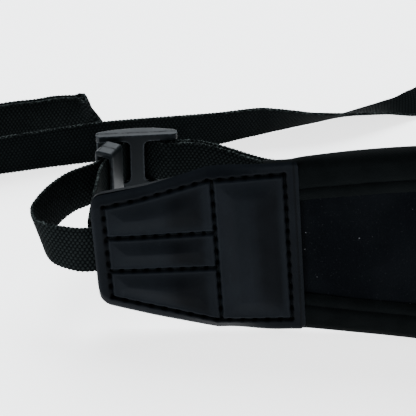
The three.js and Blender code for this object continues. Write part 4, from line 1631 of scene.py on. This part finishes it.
    def fibres(self, stations: list[Station], marks: list[float]) -> bpy.types.Object:
        """Builds the loose fibre ends that stand off both selvedges.

        Args:
            stations: The strap's stations.
            marks: The distance of each along the strap, in metres.

        Returns:
            The new piece.
        """
        rng = np.random.default_rng(FIBRE_SEEDS[self.end])
        start_alone()
        bpy.ops.mesh.primitive_cone_add(vertices=3, radius1=1, radius2=0.35, depth=1, end_fill_type="NOTHING")
        fibre = bpy.context.object
        places = []
        shifts = self.pressed(stations, marks)
        hidden = self.route.plan.webbing_overlap * MM
        for sign in (1, -1):
            for _ in range(round(marks[-1] / MM * self.fibres_per_mm)):
                i = int(rng.integers(1, len(stations) - 1))
                if marks[i] < hidden:
                    continue
                station = stations[i]
                across = float(rng.uniform(-0.5, 0.5))
                root = station.at(across * MM, sign * (self.half_width - self.fibre_root) * MM)
                root += self.shifted(station, sign, shifts[i])
                lie = station.along * float(rng.normal(0, 1.1)) + station.side * float(rng.normal(0, 0.6))
                lie += station.width * sign * float(rng.uniform(0.25, 0.8))
                length = float(rng.uniform(self.fibre_shortest, self.fibre_longest)) * MM
                turn = Vector((0, 0, 1)).rotation_difference(lie).to_matrix().to_4x4()
                size = Matrix.Diagonal((self.fibre_radius * MM, self.fibre_radius * MM, length, 1))
                places.append(Matrix.Translation(root + lie.normalized() * length / 2) @ turn @ size)
        return copies(f"fibres_{self.end.value}", fibre, places)

    def build(self, weave: bpy.types.Material, lint: bpy.types.Material) -> None:
        """Builds and dresses the band and its fibres.

        Args:
            weave: The band's finish.
            lint: The fibres' finish.
        """
        stations, marks = self.stations()
        piece = self.band(stations, marks)
        smooth(piece, 60)
        dress(piece, weave, "webbing", f"webbing_{self.end.value}")
        fibres = self.fibres(stations, marks)
        dress(fibres, lint, "webbing")
        log.info("strap_%s is %.0f mm long", self.end.value, marks[-1] / MM)


# Sliders and keepers


# Heading of each moulding in degrees, by which it is turned square while its corners are rounded.
MOULDING_HEADINGS = {"slider_near": 5, "keeper_near": 65, "slider_far": 17, "keeper_far": 17}


@dataclass
class Moulding:
    """A moulded piece with softened corners, copied from its CAD solid."""

    node: str
    heading: float
    voxel: float = 0.24
    rounds: int = 7
    keep: float = 0.5
    parting: float = 0.2 * MM
    parting_depth: float = 0.9 * MM
    ring_height: float = -1.7 * MM
    ring_radius: float = 1.1 * MM
    ring_share: float = 0.5
    corner_gain: float = 14

    def build(self, plastic: bpy.types.Material) -> None:
        """Copies the solid, turns it square, rounds its corners in voxels and turns it back.

        Args:
            plastic: Its finish.
        """
        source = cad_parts[self.node]
        piece = bpy.data.objects.new(f"{self.node}_moulding", source.data.copy())
        bpy.context.scene.collection.objects.link(piece)
        low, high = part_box(self.node)
        centre = (low + high) / 2
        square = Matrix.Rotation(-math.radians(self.heading), 4, "Z") @ Matrix.Translation(-centre)
        piece.data.transform(square)
        start_alone()
        piece.select_set(True)
        bpy.context.view_layer.objects.active = piece
        bpy.ops.object.mode_set(mode="EDIT")
        bpy.ops.mesh.select_all(action="SELECT")
        bpy.ops.mesh.remove_doubles(threshold=1e-6)
        bpy.ops.object.mode_set(mode="OBJECT")
        piece.data.remesh_voxel_size = self.voxel * MM
        bpy.ops.object.voxel_remesh()
        rounding = piece.modifiers.new("rounding", "SMOOTH")
        rounding.factor = 0.5
        rounding.iterations = self.rounds
        thinning = piece.modifiers.new("thinning", "DECIMATE")
        thinning.ratio = self.keep
        apply_all(piece)
        self.mark_corners(piece)
        self.mark_parting(piece, (high.z - low.z) / 2)
        piece.data.transform(square.inverted())
        smooth(piece, 60)
        dress(piece, plastic, "moulded_plastic", self.node)

    def mark_parting(self, piece: bpy.types.Object, half: float) -> None:
        """Stores the mould's parting line on the top, and the ejector's ring on a slider's bar.

        Args:
            piece: The moulding, turned square, with its middle at the origin.
            half: Half its height in metres.
        """
        slider = self.node.startswith("slider")
        marks = []
        for point in (v.co for v in piece.data.vertices):
            mark = 0.0
            if point.z > half - self.parting_depth:
                mark = math.exp(-(((point.y if slider else point.x) / self.parting) ** 2))
            if slider and point.y < 0:
                radius = math.hypot(point.x, point.z - self.ring_height)
                ring = math.exp(-(((radius - self.ring_radius) / self.parting) ** 2))
                mark = max(mark, self.ring_share * ring)
            marks.append(mark)
        store(piece, "parting", np.array(marks))

    def mark_corners(self, piece: bpy.types.Object) -> None:
        """Stores how strongly the surface turns at each point, for the corners' wear and painted highlight.

        Args:
            piece: The moulding.
        """
        mesh = piece.data
        normals = np.array([v.normal[:] for v in mesh.vertices])
        turn = np.zeros(len(mesh.vertices))
        for edge in mesh.edges:
            a, b = edge.vertices
            bend = 1 - float(normals[a] @ normals[b])
            turn[a] = max(turn[a], bend)
            turn[b] = max(turn[b], bend)
        store(piece, "corner", np.clip(turn * self.corner_gain, 0, 1))


# Floor, light and camera


@dataclass
class Studio:
    """Pale floor, soft light from above and the camera of the photograph."""

    route: Route
    floor_size: float = 16.0
    camera_place: tuple[float, float, float] = (33.2, -362.7, 286.8)
    pitch: float = 34.0
    focal_pixels: float = 1483.0
    photo_pixels: float = 416.0
    sensor: float = 36.0
    aim: tuple[float, float, float] = (60, 20, 20)
    light_tint: Colour = (0.92, 0.97, 1.0)
    surround: float = 0.35

    def floor(self) -> None:
        """Lays the floor."""
        start_alone()
        bpy.ops.mesh.primitive_plane_add(size=self.floor_size)
        floor = bpy.context.object
        floor.name = "floor"
        floor.data.materials.append(PaleFloor().material())

    def light(self, name: str, place: Sequence[float], size: float, power: float) -> None:
        """Adds one soft square light that points at the strap.

        Args:
            name: The light's name.
            place: Where it hangs, in metres.
            size: Its side in metres.
            power: Its power in watts.
        """
        lamp = bpy.data.lights.new(name, "AREA")
        lamp.size = size
        lamp.energy = power
        lamp.color = self.light_tint
        holder = bpy.data.objects.new(name, lamp)
        bpy.context.scene.collection.objects.link(holder)
        holder.location = place
        sight = self.route.local(self.aim) - Vector(place)
        holder.rotation_euler = sight.to_track_quat("-Z", "Y").to_euler()

    def lights(self) -> None:
        """Adds a broad overhead light, a soft fill from the camera's side and a bright surround."""
        self.light("overhead", place=(0.0, 0.85, 1.0), size=1.1, power=42)
        self.light("front_left", place=(-0.45, -0.45, 0.25), size=0.35, power=1.4)
        world = bpy.data.worlds.new("surround")
        world.use_nodes = True
        background = world.node_tree.nodes["Background"]
        background.inputs["Color"].default_value = (1.0, 1.0, 1.0, 1.0)
        background.inputs["Strength"].default_value = self.surround
        bpy.context.scene.world = world

    def camera(self) -> None:
        """Sets the camera where the photograph was taken from."""
        data = bpy.data.cameras.new("photo_camera")
        data.sensor_width = self.sensor
        data.lens = self.focal_pixels / self.photo_pixels * self.sensor
        data.clip_start = 0.01
        data.clip_end = 50
        holder = bpy.data.objects.new("photo_camera", data)
        bpy.context.scene.collection.objects.link(holder)
        holder.location = self.route.local(self.camera_place)
        holder.rotation_euler = (math.radians(90 - self.pitch), 0, 0)
        bpy.context.scene.camera = holder

    def build(self) -> None:
        """Sets up the floor, the lights and the camera."""
        self.floor()
        self.lights()
        self.camera()


def main() -> None:
    """Builds the strap's sub-assemblies in order."""
    logging.basicConfig(level=logging.INFO, format="%(name)s: %(message)s")
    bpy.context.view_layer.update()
    route = Route(StrapPlan())
    Studio(route).build()
    leather = Leatherette().material()
    thread = Thread().material()
    weaves = {
        End.NEAR: Webbing().material(),
        # The far strap's webbing is a copy whose free stretch is darkened by painted shade.
        End.FAR: Webbing("woven_webbing_far_shaded", painted_shade=0.62).material(),
    }
    lint = Lint().material()
    plastic = MouldedPlastic().material()
    PaddedBand(route).build(Neoprene().material(), EdgeTape().material())
    for end in End:
        Tab(route, end).build(leather, thread)
        WebbingStrap(route, end).build(weaves[end], lint)
    for node, heading in MOULDING_HEADINGS.items():
        Moulding(node, heading).build(plastic)


if __name__ == "__main__":
    main()
